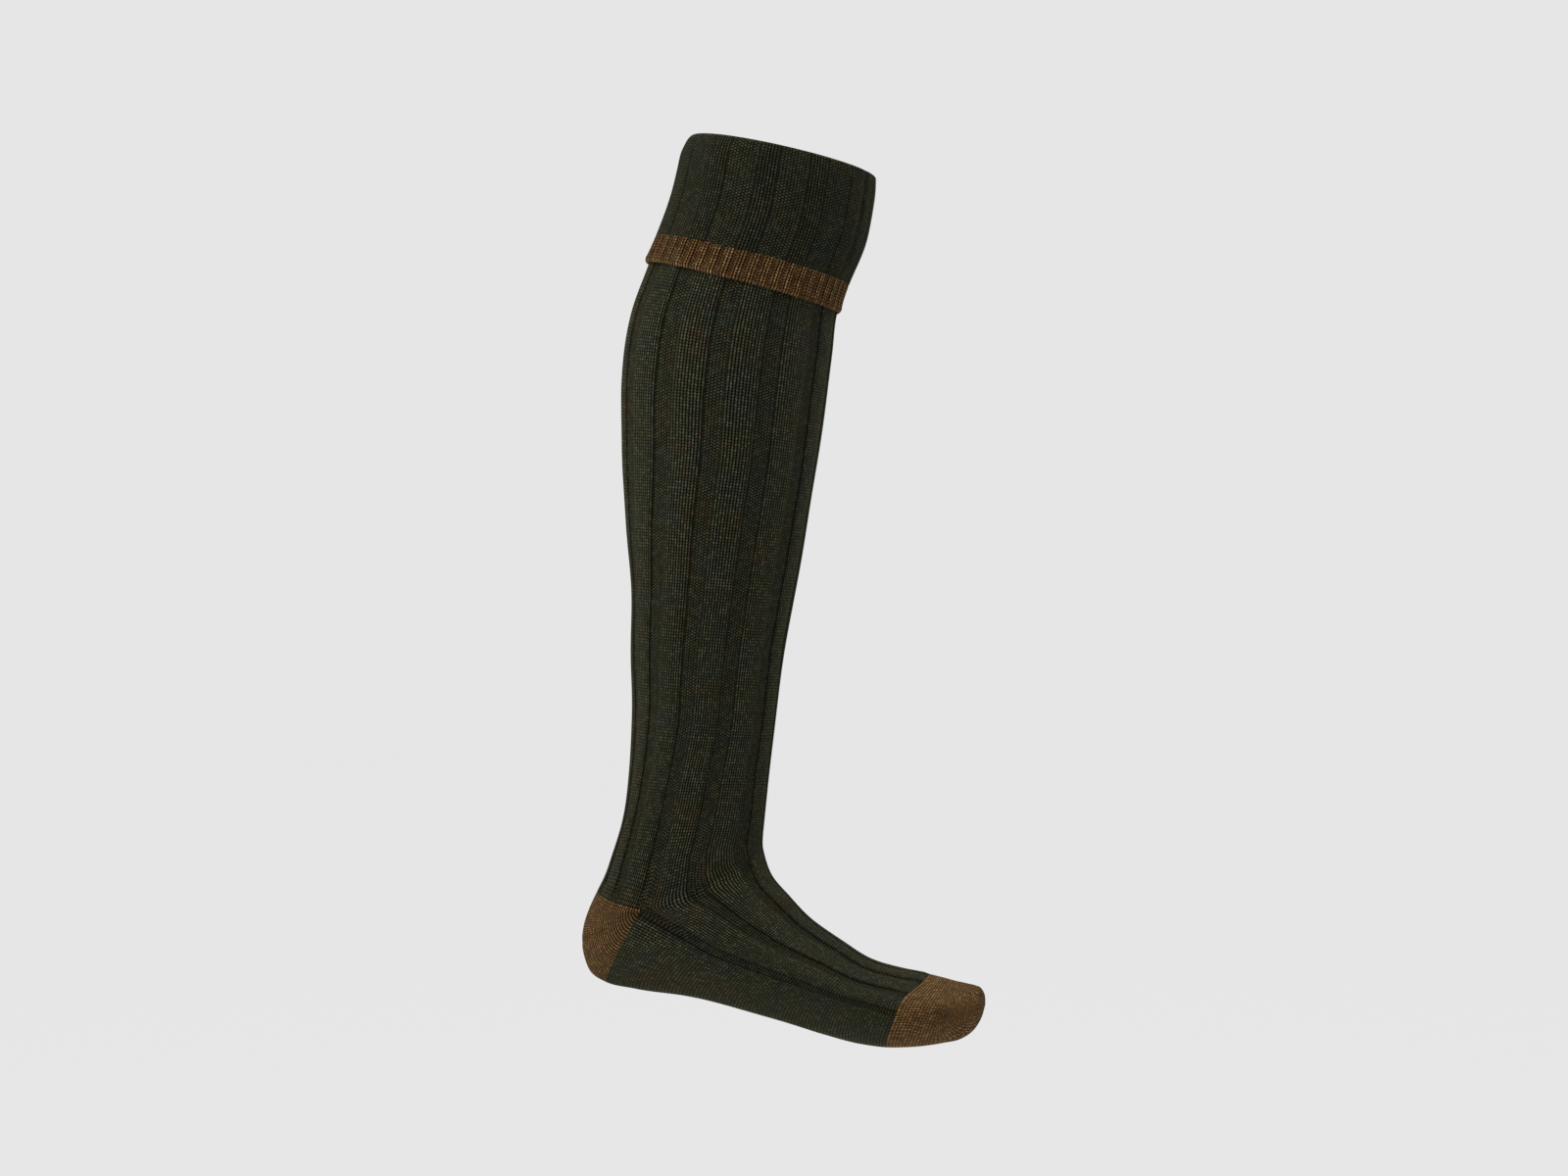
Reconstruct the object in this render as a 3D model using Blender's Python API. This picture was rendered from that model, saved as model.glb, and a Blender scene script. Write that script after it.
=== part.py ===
"""A ribbed wool knee sock with a turned-down cuff, as six closed pieces of knitted cloth.

Metres, +Z up. The toe points to +X and the sock is mirrored in the XZ plane. The origin
is the centre of the leg opening, level with the fold of the cuff. A place on the cloth is
given by its round, an angle about the leg from the front, and by its course, which runs
from the opening down the leg, round the heel and along the foot to the toe.
"""
import bpy
import bmesh
from collections import namedtuple
from math import cos, radians, sin, tau
from mathutils import Vector

# Driving sizes
LEG_LENGTH = 0.424         # cuff fold to the ankle, straight down
CALF_DEPTH = 0.123         # widest place of the leg, back to front
CALF_WIDTH = 0.110         # widest place of the leg, side to side
FOOT_LENGTH = 0.240        # back of the heel to the tip of the toe
BALL_WIDTH = 0.084         # widest place of the foot, side to side
CLOTH = 0.0022             # thickness of the knitted wall
RIB_RELIEF = 0.0011        # depth of a purl channel between two knit panels
CUFF_RELIEF = 0.0006       # height of the ribs on the turned-down side
CUFF_HEIGHT = 0.059        # fold of the cuff to the top of its trim, along the leg
TRIM_HEIGHT = 0.0180       # trim band, top to bottom
TRIM_CLOTH = 0.0030        # thickness of the trim band at its rolled edge
TRIM_RELIEF = 0.0007       # depth of a groove between two ridges of the trim
JOIN_GAP = 0.0003          # clearance between two pieces that meet

# The rib: panels of plain knit with narrow purl channels, the first channel in front
RIB_REPEATS = 12
PURL_SHARE = 0.375         # share of a repeat that the purl channel takes
RIB_SHOULDER = 0.13        # share of a repeat over which a channel's side climbs
TRIM_RIDGES = 48
SMOOTH_SIDES = 24          # sides of the plain toe
HEEL_TIP_ANGLE = 1.5       # degrees that the heel's pointed ends are blunted by
NORMAL_STEP = radians(2.0) # spacing of the two rounds that give a normal
SIDE = radians(90.0)
ROUNDING = 1e-6            # a cosine below this lies on the side itself
CUFF_RINGS = (0.5, 1.0)    # rings of the cuff below its fold, as shares of its height
LEAST_RING_STEP = 0.3      # least space between two rings of the leg, in leg sections

# Leg sections, opening to ankle. lean, drop and dip are shares of LEG_LENGTH, depth of
# CALF_DEPTH and width of CALF_WIDTH. tilt is in degrees, front down. side is the share of
# the way from back to front where the section is widest, and dip lowers that place.
LegRow = namedtuple("LegRow", "lean drop depth tilt side dip width")
LEG_ROWS = (
    LegRow(0.001, 0.006, 0.922, 13.0, 0.483, 0.000, 0.900),
    LegRow(-0.015, 0.086, 0.935, 13.5, 0.485, 0.000, 0.909),
    LegRow(-0.053, 0.190, 0.944, 15.0, 0.490, 0.000, 0.932),
    LegRow(-0.067, 0.244, 0.993, 12.0, 0.490, 0.000, 0.982),
    LegRow(-0.079, 0.329, 1.000, 8.0, 0.490, 0.000, 1.000),
    LegRow(-0.085, 0.422, 0.948, 6.0, 0.485, 0.000, 0.973),
    LegRow(-0.090, 0.517, 0.876, 5.0, 0.460, 0.000, 0.909),
    LegRow(-0.095, 0.612, 0.794, 4.7, 0.440, 0.000, 0.827),
    LegRow(-0.103, 0.707, 0.735, 4.5, 0.430, 0.000, 0.745),
    LegRow(-0.107, 0.790, 0.693, 4.2, 0.420, 0.000, 0.682),
    LegRow(-0.114, 0.871, 0.676, 3.4, 0.391, 0.000, 0.636),
    LegRow(-0.121, 0.934, 0.692, 0.0, 0.357, 0.000, 0.618),
    LegRow(-0.128, 0.964, 0.736, -5.9, 0.347, 0.012, 0.618),
    LegRow(-0.133, 0.984, 0.779, -9.8, 0.333, 0.027, 0.627),
    LegRow(-0.138, 1.000, 0.834, -12.7, 0.320, 0.036, 0.636),
)

# Back of the heel, ankle to sole, as shares of FOOT_LENGTH from the heel's side point
HeelRow = namedtuple("HeelRow", "run rise")
HEEL_ROWS = (
    HeelRow(-0.155, -0.011),
    HeelRow(-0.170, -0.055),
    HeelRow(-0.175, -0.097),
    HeelRow(-0.168, -0.139),
    HeelRow(-0.151, -0.175),
    HeelRow(-0.116, -0.199),
)

# Foot and toe sections, heel to toe. Runs and rises are shares of FOOT_LENGTH from the
# heel's side point, for the sole, the side and the top. width is a share of BALL_WIDTH.
FootRow = namedtuple("FootRow", "sole_run sole_rise side_run side_rise top_run top_rise width")
FOOT_ROWS = (
    FootRow(-0.026, -0.219, 0.088, -0.050, 0.302, 0.073, 0.857),
    FootRow(0.083, -0.228, 0.179, -0.103, 0.345, 0.023, 0.857),
    FootRow(0.200, -0.250, 0.275, -0.144, 0.401, -0.035, 0.869),
    FootRow(0.318, -0.279, 0.376, -0.180, 0.480, -0.089, 0.905),
    FootRow(0.435, -0.312, 0.480, -0.211, 0.554, -0.133, 0.964),
    FootRow(0.525, -0.335, 0.560, -0.230, 0.632, -0.153, 1.000),
    FootRow(0.590, -0.341, 0.623, -0.245, 0.689, -0.162, 0.988),
)
TOE_ROWS = (
    FootRow(0.633, -0.339, 0.672, -0.245, 0.718, -0.167, 0.940),
    FootRow(0.681, -0.334, 0.717, -0.242, 0.746, -0.173, 0.855),
    FootRow(0.722, -0.327, 0.758, -0.239, 0.775, -0.179, 0.750),
    FootRow(0.765, -0.318, 0.791, -0.236, 0.799, -0.185, 0.595),
    FootRow(0.796, -0.298, 0.812, -0.233, 0.815, -0.194, 0.420),
    FootRow(0.815, -0.270, 0.822, -0.232, 0.822, -0.208, 0.220),
)
TOE_TIP = HeelRow(0.826, -0.233)

# Profile of the fold: out is a share of the way from the leg's inner face to the cuff's
# outer face, up a share of the cuff's thickness above the leg's top edge
FoldRow = namedtuple("FoldRow", "out up")
FOLD_ROWS = (
    FoldRow(0.96, 0.45),
    FoldRow(0.76, 0.90),
    FoldRow(0.50, 1.00),
    FoldRow(0.24, 0.90),
    FoldRow(0.04, 0.45),
)

# Profile of the trim's outer face: down is a share of its height, out of its thickness
TrimRow = namedtuple("TrimRow", "down out")
TRIM_ROWS = (
    TrimRow(0.00, 0.72),
    TrimRow(0.45, 0.80),
    TrimRow(0.82, 0.96),
    TrimRow(0.94, 1.00),
    TrimRow(1.00, 0.75),
)

Colour = namedtuple("Colour", "red green blue roughness")
COLOURS = {
    "olive_knit": Colour(0.022, 0.022, 0.014, 0.95),
    "olive_reverse": Colour(0.020, 0.020, 0.013, 0.95),
    "tan_heel": Colour(0.080, 0.046, 0.022, 0.95),
    "tan_toe": Colour(0.105, 0.067, 0.036, 0.95),
    "tan_trim": Colour(0.078, 0.046, 0.020, 0.95),
}


def side_view(x, z):
    return Vector((x, 0.0, z))


def section_point(back, side, front, half_width, angle):
    """A point of one section, which bends through its back, side and front points."""
    c = cos(angle)
    place = back * ((c * c - c) / 2) + side * (1 - c * c) + front * ((c * c + c) / 2)
    return place + Vector((0.0, half_width * sin(angle), 0.0))


def leg_marks(row):
    """Back, side and front points of a leg section in the side view."""
    centre = side_view(row.lean * LEG_LENGTH, -row.drop * LEG_LENGTH)
    tilt = radians(row.tilt)
    across = side_view(cos(tilt), -sin(tilt)) * (row.depth * CALF_DEPTH)
    back = centre - across / 2
    side = back + across * row.side - side_view(0.0, row.dip * LEG_LENGTH)
    return back, side, back + across


def leg_point(row, angle):
    back, side, front = leg_marks(row)
    return section_point(back, side, front, row.width * CALF_WIDTH / 2, angle)


ANKLE = LEG_ROWS[-1]
ANKLE_SIDE, ANKLE_FRONT = leg_marks(ANKLE)[1:]
ANKLE_HALF_WIDTH = ANKLE.width * CALF_WIDTH / 2


def foot_place(run, rise):
    return ANKLE_SIDE + side_view(run, rise) * FOOT_LENGTH


def heel_points(angle):
    """Points round the heel at one angle of its back half, after the ankle's own point."""
    last_back = foot_place(*HEEL_ROWS[-1])
    last_front = ANKLE_SIDE * 2 - last_back
    points = []
    for number, row in enumerate(HEEL_ROWS, start=1):
        front = ANKLE_FRONT.lerp(last_front, number / len(HEEL_ROWS))
        points.append(
            section_point(foot_place(*row), ANKLE_SIDE, front, ANKLE_HALF_WIDTH, angle)
        )
    return points


def foot_point(row, angle):
    sole = foot_place(row.sole_run, row.sole_rise)
    side = foot_place(row.side_run, row.side_rise)
    top = foot_place(row.top_run, row.top_rise)
    return section_point(sole, side, top, row.width * BALL_WIDTH / 2, angle)


def in_back_half(angle):
    return cos(angle) < -ROUNDING


def wale_path(angle):
    """All points down the sock at one angle, and the number of each piece's first one."""
    points = [leg_point(row, angle) for row in LEG_ROWS]
    first = {"leg": 0, "heel": len(points) - 1}
    if in_back_half(angle):
        points.extend(heel_points(angle))
    first["foot"] = len(points) - 1
    points.extend(foot_point(row, angle) for row in FOOT_ROWS)
    first["toe"] = len(points) - 1
    points.extend(foot_point(row, angle) for row in TOE_ROWS)
    points.append(foot_place(*TOE_TIP))
    return points, first


def along(points, place):
    """The place on a smooth curve through the points, counted in points from the first."""
    number = min(int(place), len(points) - 2)
    part = place - number
    before = points[max(number - 1, 0)]
    start = points[number]
    end = points[number + 1]
    after = points[min(number + 2, len(points) - 1)]
    return 0.5 * (
        2 * start
        + (end - before) * part
        + (2 * before - 5 * start + 4 * end - after) * part ** 2
        + (3 * start - before - 3 * end + after) * part ** 3
    )


def cloth_frame(piece, place, angle):
    """Point, outward normal and downward direction of the cloth, counted from a piece."""
    points, first = wale_path(angle)
    number = first[piece] + place
    point = along(points, number)
    above = along(points, max(number - 0.5, 0.0))
    below = along(points, min(number + 0.5, len(points) - 1.0))
    down = (below - above).normalized()
    neighbours = []
    for turn in (-NORMAL_STEP, NORMAL_STEP):
        if piece == "heel" and not in_back_half(angle + turn):
            turn = 0.0
        beside, beside_first = wale_path(angle + turn)
        neighbours.append(along(beside, beside_first[piece] + place))
    normal = down.cross(neighbours[1] - neighbours[0]).normalized()
    return point, normal, down


def leg_place(drop):
    """The place in LEG_ROWS of a drop below the cuff's fold, in metres."""
    share = drop / LEG_LENGTH
    for number in range(len(LEG_ROWS) - 1):
        upper, lower = LEG_ROWS[number].drop, LEG_ROWS[number + 1].drop
        if share <= lower:
            return number + (share - upper) / (lower - upper)
    return len(LEG_ROWS) - 1.0


def rib_angles():
    """Angles of the rounds that draw each repeat's channel, its sides and its panel."""
    bottom = PURL_SHARE / 2 - RIB_SHOULDER / 2
    top = PURL_SHARE / 2 + RIB_SHOULDER / 2
    marks = (0.0, bottom, top, 0.5, 1 - top, 1 - bottom)
    return [
        (repeat + mark) / RIB_REPEATS * tau for repeat in range(RIB_REPEATS) for mark in marks
    ]


def channel(angle):
    """One on the floor of a purl channel and nothing on a knit panel."""
    share = angle / tau * RIB_REPEATS % 1.0
    from_centre = min(share, 1 - share)
    climb = (from_centre - PURL_SHARE / 2 + RIB_SHOULDER / 2) / RIB_SHOULDER
    return 1.0 - min(max(climb, 0.0), 1.0)


def leg_relief(angle):
    return -RIB_RELIEF * channel(angle)


def foot_relief(angle):
    """Ribs on the instep, and plain knit on the sole behind the two side channels."""
    past_side = cos(angle) < cos(SIDE + tau / RIB_REPEATS / 2)
    return 0.0 if past_side else leg_relief(angle)


def plain_relief(angle):
    return 0.0


def even_angles(count):
    return [step / count * tau for step in range(count)]


def cloth_ring(piece, place, angles, relief, inset, shift):
    """A ring of points, inset from the outer face and shifted down the sock."""
    ring = []
    for angle in angles:
        point, normal, down = cloth_frame(piece, place, angle)
        ring.append(point + normal * (relief(angle) - inset) + down * shift)
    return ring


def cloth_wall(piece, places, angles, relief):
    """The outer and inner rings of a wall, with half the join gap left at each end."""
    outer = []
    inner = []
    for place in places:
        shift = 0.0
        if place == places[0] and piece != "leg":
            shift = JOIN_GAP / 2
        if place == places[-1]:
            shift = -JOIN_GAP / 2
        outer.append(cloth_ring(piece, place, angles, relief, 0.0, shift))
        inner.append(cloth_ring(piece, place, angles, relief, CLOTH, shift))
    return outer, inner


def add_ring(mesh, ring):
    return [mesh.verts.new(point) for point in ring]


def join_rings(mesh, upper, lower, closed=True):
    count = len(upper)
    for step in range(count if closed else count - 1):
        after = (step + 1) % count
        mesh.faces.new((upper[step], upper[after], lower[after], lower[step]))


def make_tube(mesh, profile):
    """A closed sleeve: each ring is joined to the next, and the last one to the first."""
    rings = [add_ring(mesh, ring) for ring in profile]
    for number, ring in enumerate(rings):
        join_rings(mesh, ring, rings[(number + 1) % len(rings)])


def leg_places():
    """The leg's rings: those that the cuff lies against, and then the leg's own sections."""
    under_cuff = [share * CUFF_HEIGHT for share in CUFF_RINGS] + [CUFF_HEIGHT + TRIM_HEIGHT]
    places = [0.0] + [leg_place(drop) for drop in under_cuff]
    first_free = int(places[-1] + LEAST_RING_STEP) + 1
    return places + list(range(first_free, len(LEG_ROWS)))


def make_leg(mesh):
    outer, inner = cloth_wall("leg", leg_places(), rib_angles(), leg_relief)
    make_tube(mesh, outer + inner[::-1])


def make_foot(mesh):
    outer, inner = cloth_wall("foot", range(len(FOOT_ROWS) + 1), rib_angles(), foot_relief)
    make_tube(mesh, outer + inner[::-1])


def make_heel(mesh):
    """The back half between the ankle and the sole, which narrows to a point each side."""
    blunt = radians(HEEL_TIP_ANGLE)
    angles = [angle for angle in rib_angles() if SIDE + blunt < angle < 3 * SIDE - blunt]
    angles = [SIDE + blunt] + angles + [3 * SIDE - blunt]
    places = range(len(HEEL_ROWS) + 1)
    outer, inner = cloth_wall("heel", places, angles, plain_relief)
    profile = [add_ring(mesh, ring) for ring in outer + inner[::-1]]
    for number, ring in enumerate(profile):
        join_rings(mesh, ring, profile[(number + 1) % len(profile)], closed=False)
    for end in (0, -1):
        edge = [ring[end] for ring in profile]
        while len(edge) > 2:
            corners = (edge[0], edge[1], edge[-2], edge[-1]) if len(edge) > 3 else edge
            mesh.faces.new(corners)
            edge = edge[1:-1]


def make_toe(mesh):
    """A round cap: rings from the toe seam to the tip, outside and inside."""
    places = range(len(TOE_ROWS) + 1)
    angles = even_angles(SMOOTH_SIDES)
    seam_shift = JOIN_GAP / 2
    outer = []
    inner = []
    for place in places:
        shift = seam_shift if place == 0 else 0.0
        outer.append(cloth_ring("toe", place, angles, plain_relief, 0.0, shift))
        inner.append(cloth_ring("toe", place, angles, plain_relief, CLOTH, shift))
    profile = [add_ring(mesh, ring) for ring in outer[::-1] + inner]
    for upper, lower in zip(profile, profile[1:]):
        join_rings(mesh, upper, lower)
    tip = foot_place(*TOE_TIP)
    for ring, depth in ((profile[0], 0.0), (profile[-1], CLOTH)):
        centre = mesh.verts.new(tip - side_view(depth, 0.0))
        for step, vertex in enumerate(ring):
            mesh.faces.new((vertex, ring[(step + 1) % len(ring)], centre))


def cuff_relief(angle):
    """The back of the rib: the purl channels of the leg stand out here."""
    return CUFF_RELIEF * (channel(angle) - 1.0)


def cuff_ring(place, angles, out, up, relief):
    """A ring on the leg's place, set out from its face and raised along the leg."""
    ring = []
    for angle in angles:
        point, normal, down = cloth_frame("leg", place, angle)
        ring.append(point + normal * (out + relief(angle)) - down * up)
    return ring


def make_cuff(mesh):
    """The turned-down layer, with the fold that closes it over the leg's top edge."""
    angles = rib_angles()
    face = JOIN_GAP + CLOTH
    middle, bottom = [leg_place(share * CUFF_HEIGHT) for share in CUFF_RINGS]
    profile = [
        cuff_ring(bottom, angles, JOIN_GAP, JOIN_GAP / 2, plain_relief),
        cuff_ring(bottom, angles, face, JOIN_GAP / 2, cuff_relief),
        cuff_ring(middle, angles, face, 0.0, cuff_relief),
        cuff_ring(0.0, angles, face, -JOIN_GAP, cuff_relief),
    ]
    reach = face + CLOTH
    for row in FOLD_ROWS:
        out = row.out * reach - CLOTH
        profile.append(cuff_ring(0.0, angles, out, JOIN_GAP + row.up * CLOTH, plain_relief))
    profile.append(cuff_ring(0.0, angles, -CLOTH, JOIN_GAP, plain_relief))
    profile.append(cuff_ring(0.0, angles, JOIN_GAP, JOIN_GAP, plain_relief))
    profile.append(cuff_ring(middle, angles, JOIN_GAP, 0.0, plain_relief))
    make_tube(mesh, profile)


def trim_relief(angle):
    """Alternate rounds of the trim lie in a groove."""
    step = round(angle / tau * TRIM_RIDGES * 2)
    return -TRIM_RELIEF * (step % 2)


def make_trim(mesh):
    """The contrast band at the cuff's lower edge, in narrow ribs with a rolled rim."""
    angles = even_angles(TRIM_RIDGES * 2)
    profile = []
    for row in TRIM_ROWS:
        place = leg_place(CUFF_HEIGHT + row.down * TRIM_HEIGHT)
        up = -JOIN_GAP / 2 if row.down == 0 else 0.0
        profile.append(cuff_ring(place, angles, JOIN_GAP + row.out * TRIM_CLOTH, up, trim_relief))
    for row in (TRIM_ROWS[-1], TRIM_ROWS[1], TRIM_ROWS[0]):
        place = leg_place(CUFF_HEIGHT + row.down * TRIM_HEIGHT)
        up = -JOIN_GAP / 2 if row.down == 0 else 0.0
        profile.append(cuff_ring(place, angles, JOIN_GAP, up, plain_relief))
    make_tube(mesh, profile)


def cloth_material(name):
    colour = COLOURS[name]
    material = bpy.data.materials.new(name)
    material.use_nodes = True
    shader = material.node_tree.nodes["Principled BSDF"]
    shader.inputs["Base Color"].default_value = (colour.red, colour.green, colour.blue, 1.0)
    shader.inputs["Roughness"].default_value = colour.roughness
    shader.inputs["Metallic"].default_value = 0.0
    return material


def add_piece(name, make, material, parent):
    shape = bmesh.new()
    make(shape)
    bmesh.ops.recalc_face_normals(shape, faces=shape.faces)
    mesh = bpy.data.meshes.new(name)
    shape.to_mesh(mesh)
    shape.free()
    mesh.shade_smooth()
    mesh.materials.append(cloth_material(material))
    piece = bpy.data.objects.new(name, mesh)
    bpy.context.scene.collection.objects.link(piece)
    piece.parent = parent


def main():
    for item in list(bpy.data.objects):
        bpy.data.objects.remove(item, do_unlink=True)
    opening = bpy.data.objects.new("leg_opening", None)
    bpy.context.scene.collection.objects.link(opening)
    add_piece("leg", make_leg, "olive_knit", opening)
    add_piece("turnover_cuff", make_cuff, "olive_reverse", opening)
    add_piece("cuff_trim", make_trim, "tan_trim", opening)
    add_piece("heel", make_heel, "tan_heel", opening)
    add_piece("foot", make_foot, "olive_knit", opening)
    add_piece("toe", make_toe, "tan_toe", opening)


main()
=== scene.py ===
"""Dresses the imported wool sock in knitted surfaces, with its studio and camera.

Metres, +Z up, toe to +X. A point of the cloth is given by its angle about the leg, from the front,
and by its place, which counts along a table of sections from the opening down to the toe. Wales
are the columns of stitches and courses are the rows.
"""
from collections import namedtuple
from math import radians, sin, cos, tau

import bpy
import numpy as np
from bpy.props import FloatProperty, FloatVectorProperty, IntProperty, PointerProperty
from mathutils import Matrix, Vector


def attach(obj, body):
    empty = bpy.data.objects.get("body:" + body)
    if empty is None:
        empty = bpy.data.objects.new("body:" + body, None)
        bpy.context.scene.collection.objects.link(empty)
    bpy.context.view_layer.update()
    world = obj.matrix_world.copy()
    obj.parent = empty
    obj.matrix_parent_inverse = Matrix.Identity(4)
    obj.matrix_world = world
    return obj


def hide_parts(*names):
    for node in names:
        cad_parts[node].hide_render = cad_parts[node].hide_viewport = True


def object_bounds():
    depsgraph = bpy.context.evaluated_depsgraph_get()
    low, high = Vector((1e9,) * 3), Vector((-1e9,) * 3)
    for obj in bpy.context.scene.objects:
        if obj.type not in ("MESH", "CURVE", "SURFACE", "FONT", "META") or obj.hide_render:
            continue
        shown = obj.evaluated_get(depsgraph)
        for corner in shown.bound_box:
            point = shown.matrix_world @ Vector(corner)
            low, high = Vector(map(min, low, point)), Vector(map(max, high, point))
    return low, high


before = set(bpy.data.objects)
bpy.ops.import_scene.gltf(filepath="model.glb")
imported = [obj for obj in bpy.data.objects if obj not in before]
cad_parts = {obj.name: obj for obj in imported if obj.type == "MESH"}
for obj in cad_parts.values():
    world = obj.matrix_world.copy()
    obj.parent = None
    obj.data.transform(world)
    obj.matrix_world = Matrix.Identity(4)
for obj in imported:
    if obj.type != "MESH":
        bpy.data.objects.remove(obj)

bl_info = {
    "name": "Ribbed Wool Sock",
    "version": (1, 0, 0),
    "blender": (4, 5, 0),
    "location": "3D View > Sidebar > Sock",
    "description": "Knits a ribbed knee sock with a turned-down cuff around its frame",
    "category": "Object",
}

CAD_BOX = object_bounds()

# Driving sizes, the same as the frame's
LEG_LENGTH = 0.424
CALF_DEPTH = 0.123
CALF_WIDTH = 0.110
FOOT_LENGTH = 0.240
BALL_WIDTH = 0.084
CLOTH = 0.0022
TRIM_CLOTH = 0.0030
JOIN_GAP = 0.0003
RIB_REPEATS = 12
WALES = 96
PURL_WALES = 3
TRIM_RIDGES = 48

# The cuff and the trim meet 2.5 mm lower than in the frame, where the photo shows their seam
CUFF_HEIGHT = 0.0615
TRIM_HEIGHT = 0.0155

# Sections down the leg, in shares of its length and of the calf; side and dip place the widest point
LegRow = namedtuple("LegRow", "lean drop depth tilt side dip width")
LEG_ROWS = (
    LegRow(0.001, 0.006, 0.922, 13.0, 0.483, 0.000, 0.900),
    LegRow(-0.015, 0.086, 0.935, 13.5, 0.485, 0.000, 0.909),
    LegRow(-0.053, 0.190, 0.944, 15.0, 0.490, 0.000, 0.932),
    LegRow(-0.067, 0.244, 0.993, 12.0, 0.490, 0.000, 0.982),
    LegRow(-0.079, 0.329, 1.000, 8.0, 0.490, 0.000, 1.000),
    LegRow(-0.085, 0.422, 0.948, 6.0, 0.485, 0.000, 0.973),
    LegRow(-0.090, 0.517, 0.876, 5.0, 0.460, 0.000, 0.909),
    LegRow(-0.095, 0.612, 0.794, 4.7, 0.440, 0.000, 0.827),
    LegRow(-0.103, 0.707, 0.735, 4.5, 0.430, 0.000, 0.745),
    LegRow(-0.107, 0.790, 0.693, 4.2, 0.420, 0.000, 0.682),
    LegRow(-0.114, 0.871, 0.676, 3.4, 0.391, 0.000, 0.636),
    LegRow(-0.121, 0.934, 0.692, 0.0, 0.357, 0.000, 0.618),
    LegRow(-0.128, 0.964, 0.736, -5.9, 0.347, 0.012, 0.618),
    LegRow(-0.133, 0.984, 0.779, -9.8, 0.333, 0.027, 0.627),
    LegRow(-0.138, 1.000, 0.834, -12.7, 0.320, 0.036, 0.636),
)

# The heel's outline behind, from the ankle's side point, in foot lengths
HeelRow = namedtuple("HeelRow", "run rise")
HEEL_ROWS = (
    HeelRow(-0.155, -0.011),
    HeelRow(-0.170, -0.055),
    HeelRow(-0.175, -0.097),
    HeelRow(-0.168, -0.139),
    HeelRow(-0.151, -0.175),
    HeelRow(-0.116, -0.197),
)

# Sections along the foot and the toe: sole, side and top, from the same point, and the width
FootRow = namedtuple("FootRow", "sole_run sole_rise side_run side_rise top_run top_rise width")
FOOT_ROWS = (
    FootRow(-0.040, -0.2120, 0.088, -0.050, 0.302, 0.073, 0.857),
    FootRow(0.083, -0.225, 0.179, -0.103, 0.345, 0.023, 0.857),
    FootRow(0.200, -0.250, 0.275, -0.144, 0.401, -0.035, 0.869),
    FootRow(0.318, -0.279, 0.376, -0.180, 0.480, -0.089, 0.905),
    FootRow(0.435, -0.312, 0.480, -0.211, 0.554, -0.133, 0.964),
    FootRow(0.525, -0.335, 0.560, -0.230, 0.632, -0.153, 1.000),
    FootRow(0.590, -0.341, 0.623, -0.245, 0.689, -0.162, 0.988),
)
TOE_ROWS = (
    FootRow(0.633, -0.339, 0.672, -0.245, 0.718, -0.167, 0.940),
    FootRow(0.681, -0.334, 0.717, -0.242, 0.746, -0.173, 0.855),
    FootRow(0.722, -0.327, 0.758, -0.239, 0.775, -0.179, 0.750),
    FootRow(0.765, -0.318, 0.791, -0.236, 0.799, -0.185, 0.595),
    FootRow(0.796, -0.298, 0.812, -0.233, 0.815, -0.194, 0.420),
    FootRow(0.815, -0.270, 0.822, -0.232, 0.822, -0.208, 0.220),
)
TOE_TIP = HeelRow(0.826, -0.233)

# Where the first sections of the instep aim behind the foot's side, so that the ribs turn softly
INSTEP_AIMS = (HeelRow(-0.063, -0.080), HeelRow(0.040, -0.179), HeelRow(0.174, -0.232))

# How far the ribs at the sides lean to the front, in degrees by place on the leg and the foot
LEG_LEAN = ((0, 4.0), (5, 5.0), (8, 3.7), (9, 2.5), (10, 0.0), (14, 0.0))
FOOT_LEAN = ((0, 0.0), (2, 2.0), (3, 5.0), (4, 8.0), (7, 8.0))

# The same round the ankle, for the ribs halfway between the front and the sides
LEG_PULL = ((10.5, 0.0), (12, -2.0), (13, 0.0), (14, 4.0))
FOOT_PULL = ((0, 4.0), (0.5, 3.2), (1, 1.5), (2, 0.0))

# How near the sides the heel's tips lie, and how fast the front line takes over past the sides
SIDE = radians(90.0)
HEEL_TIP_ANGLE = radians(0.6)
SIDE_BLEND = 3

# Errors of rounding: in a cosine at the sides, and in a length near nothing
ROUNDING = 1e-6
TINY = 1e-12

# The seam from foot to toe bends back on each side, most at this angle from the top
TOE_SEAM_BEND = 0.20
TOE_SEAM_ANGLE = 58.0
TOE_SEAM_SPREAD = 26.0
TOE_SEAM_ROWS = 2

# How far the toe's top lies below the foot's, by place, as a share of the full drop
TOE_TOP = ((0.0, 0.30), (1.0, 0.6), (2.5, 1.0), (3.5, 1.0), (6.0, 0.0))

# The cosines, from the top round to the side, between which the drop fades out
TOE_SHOULDER = 0.3
TOE_SHOULDER_WIDTH = 0.5

# The foot swells above the toe's seam by this share of the drop, this far back, and falls to it
BRIM_HEIGHT = 0.3
BRIM_REACH = 0.009
BRIM_FALL = 0.004

# The toe's wales turn about a point on each side, this far past the seam, out to these wales
TOE_TURN = 0.023
TOE_WALE = 0.0021
FAN_START = 8.0
FAN_END = 14.0
FAN_PLAIN_WALES = 2

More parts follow.
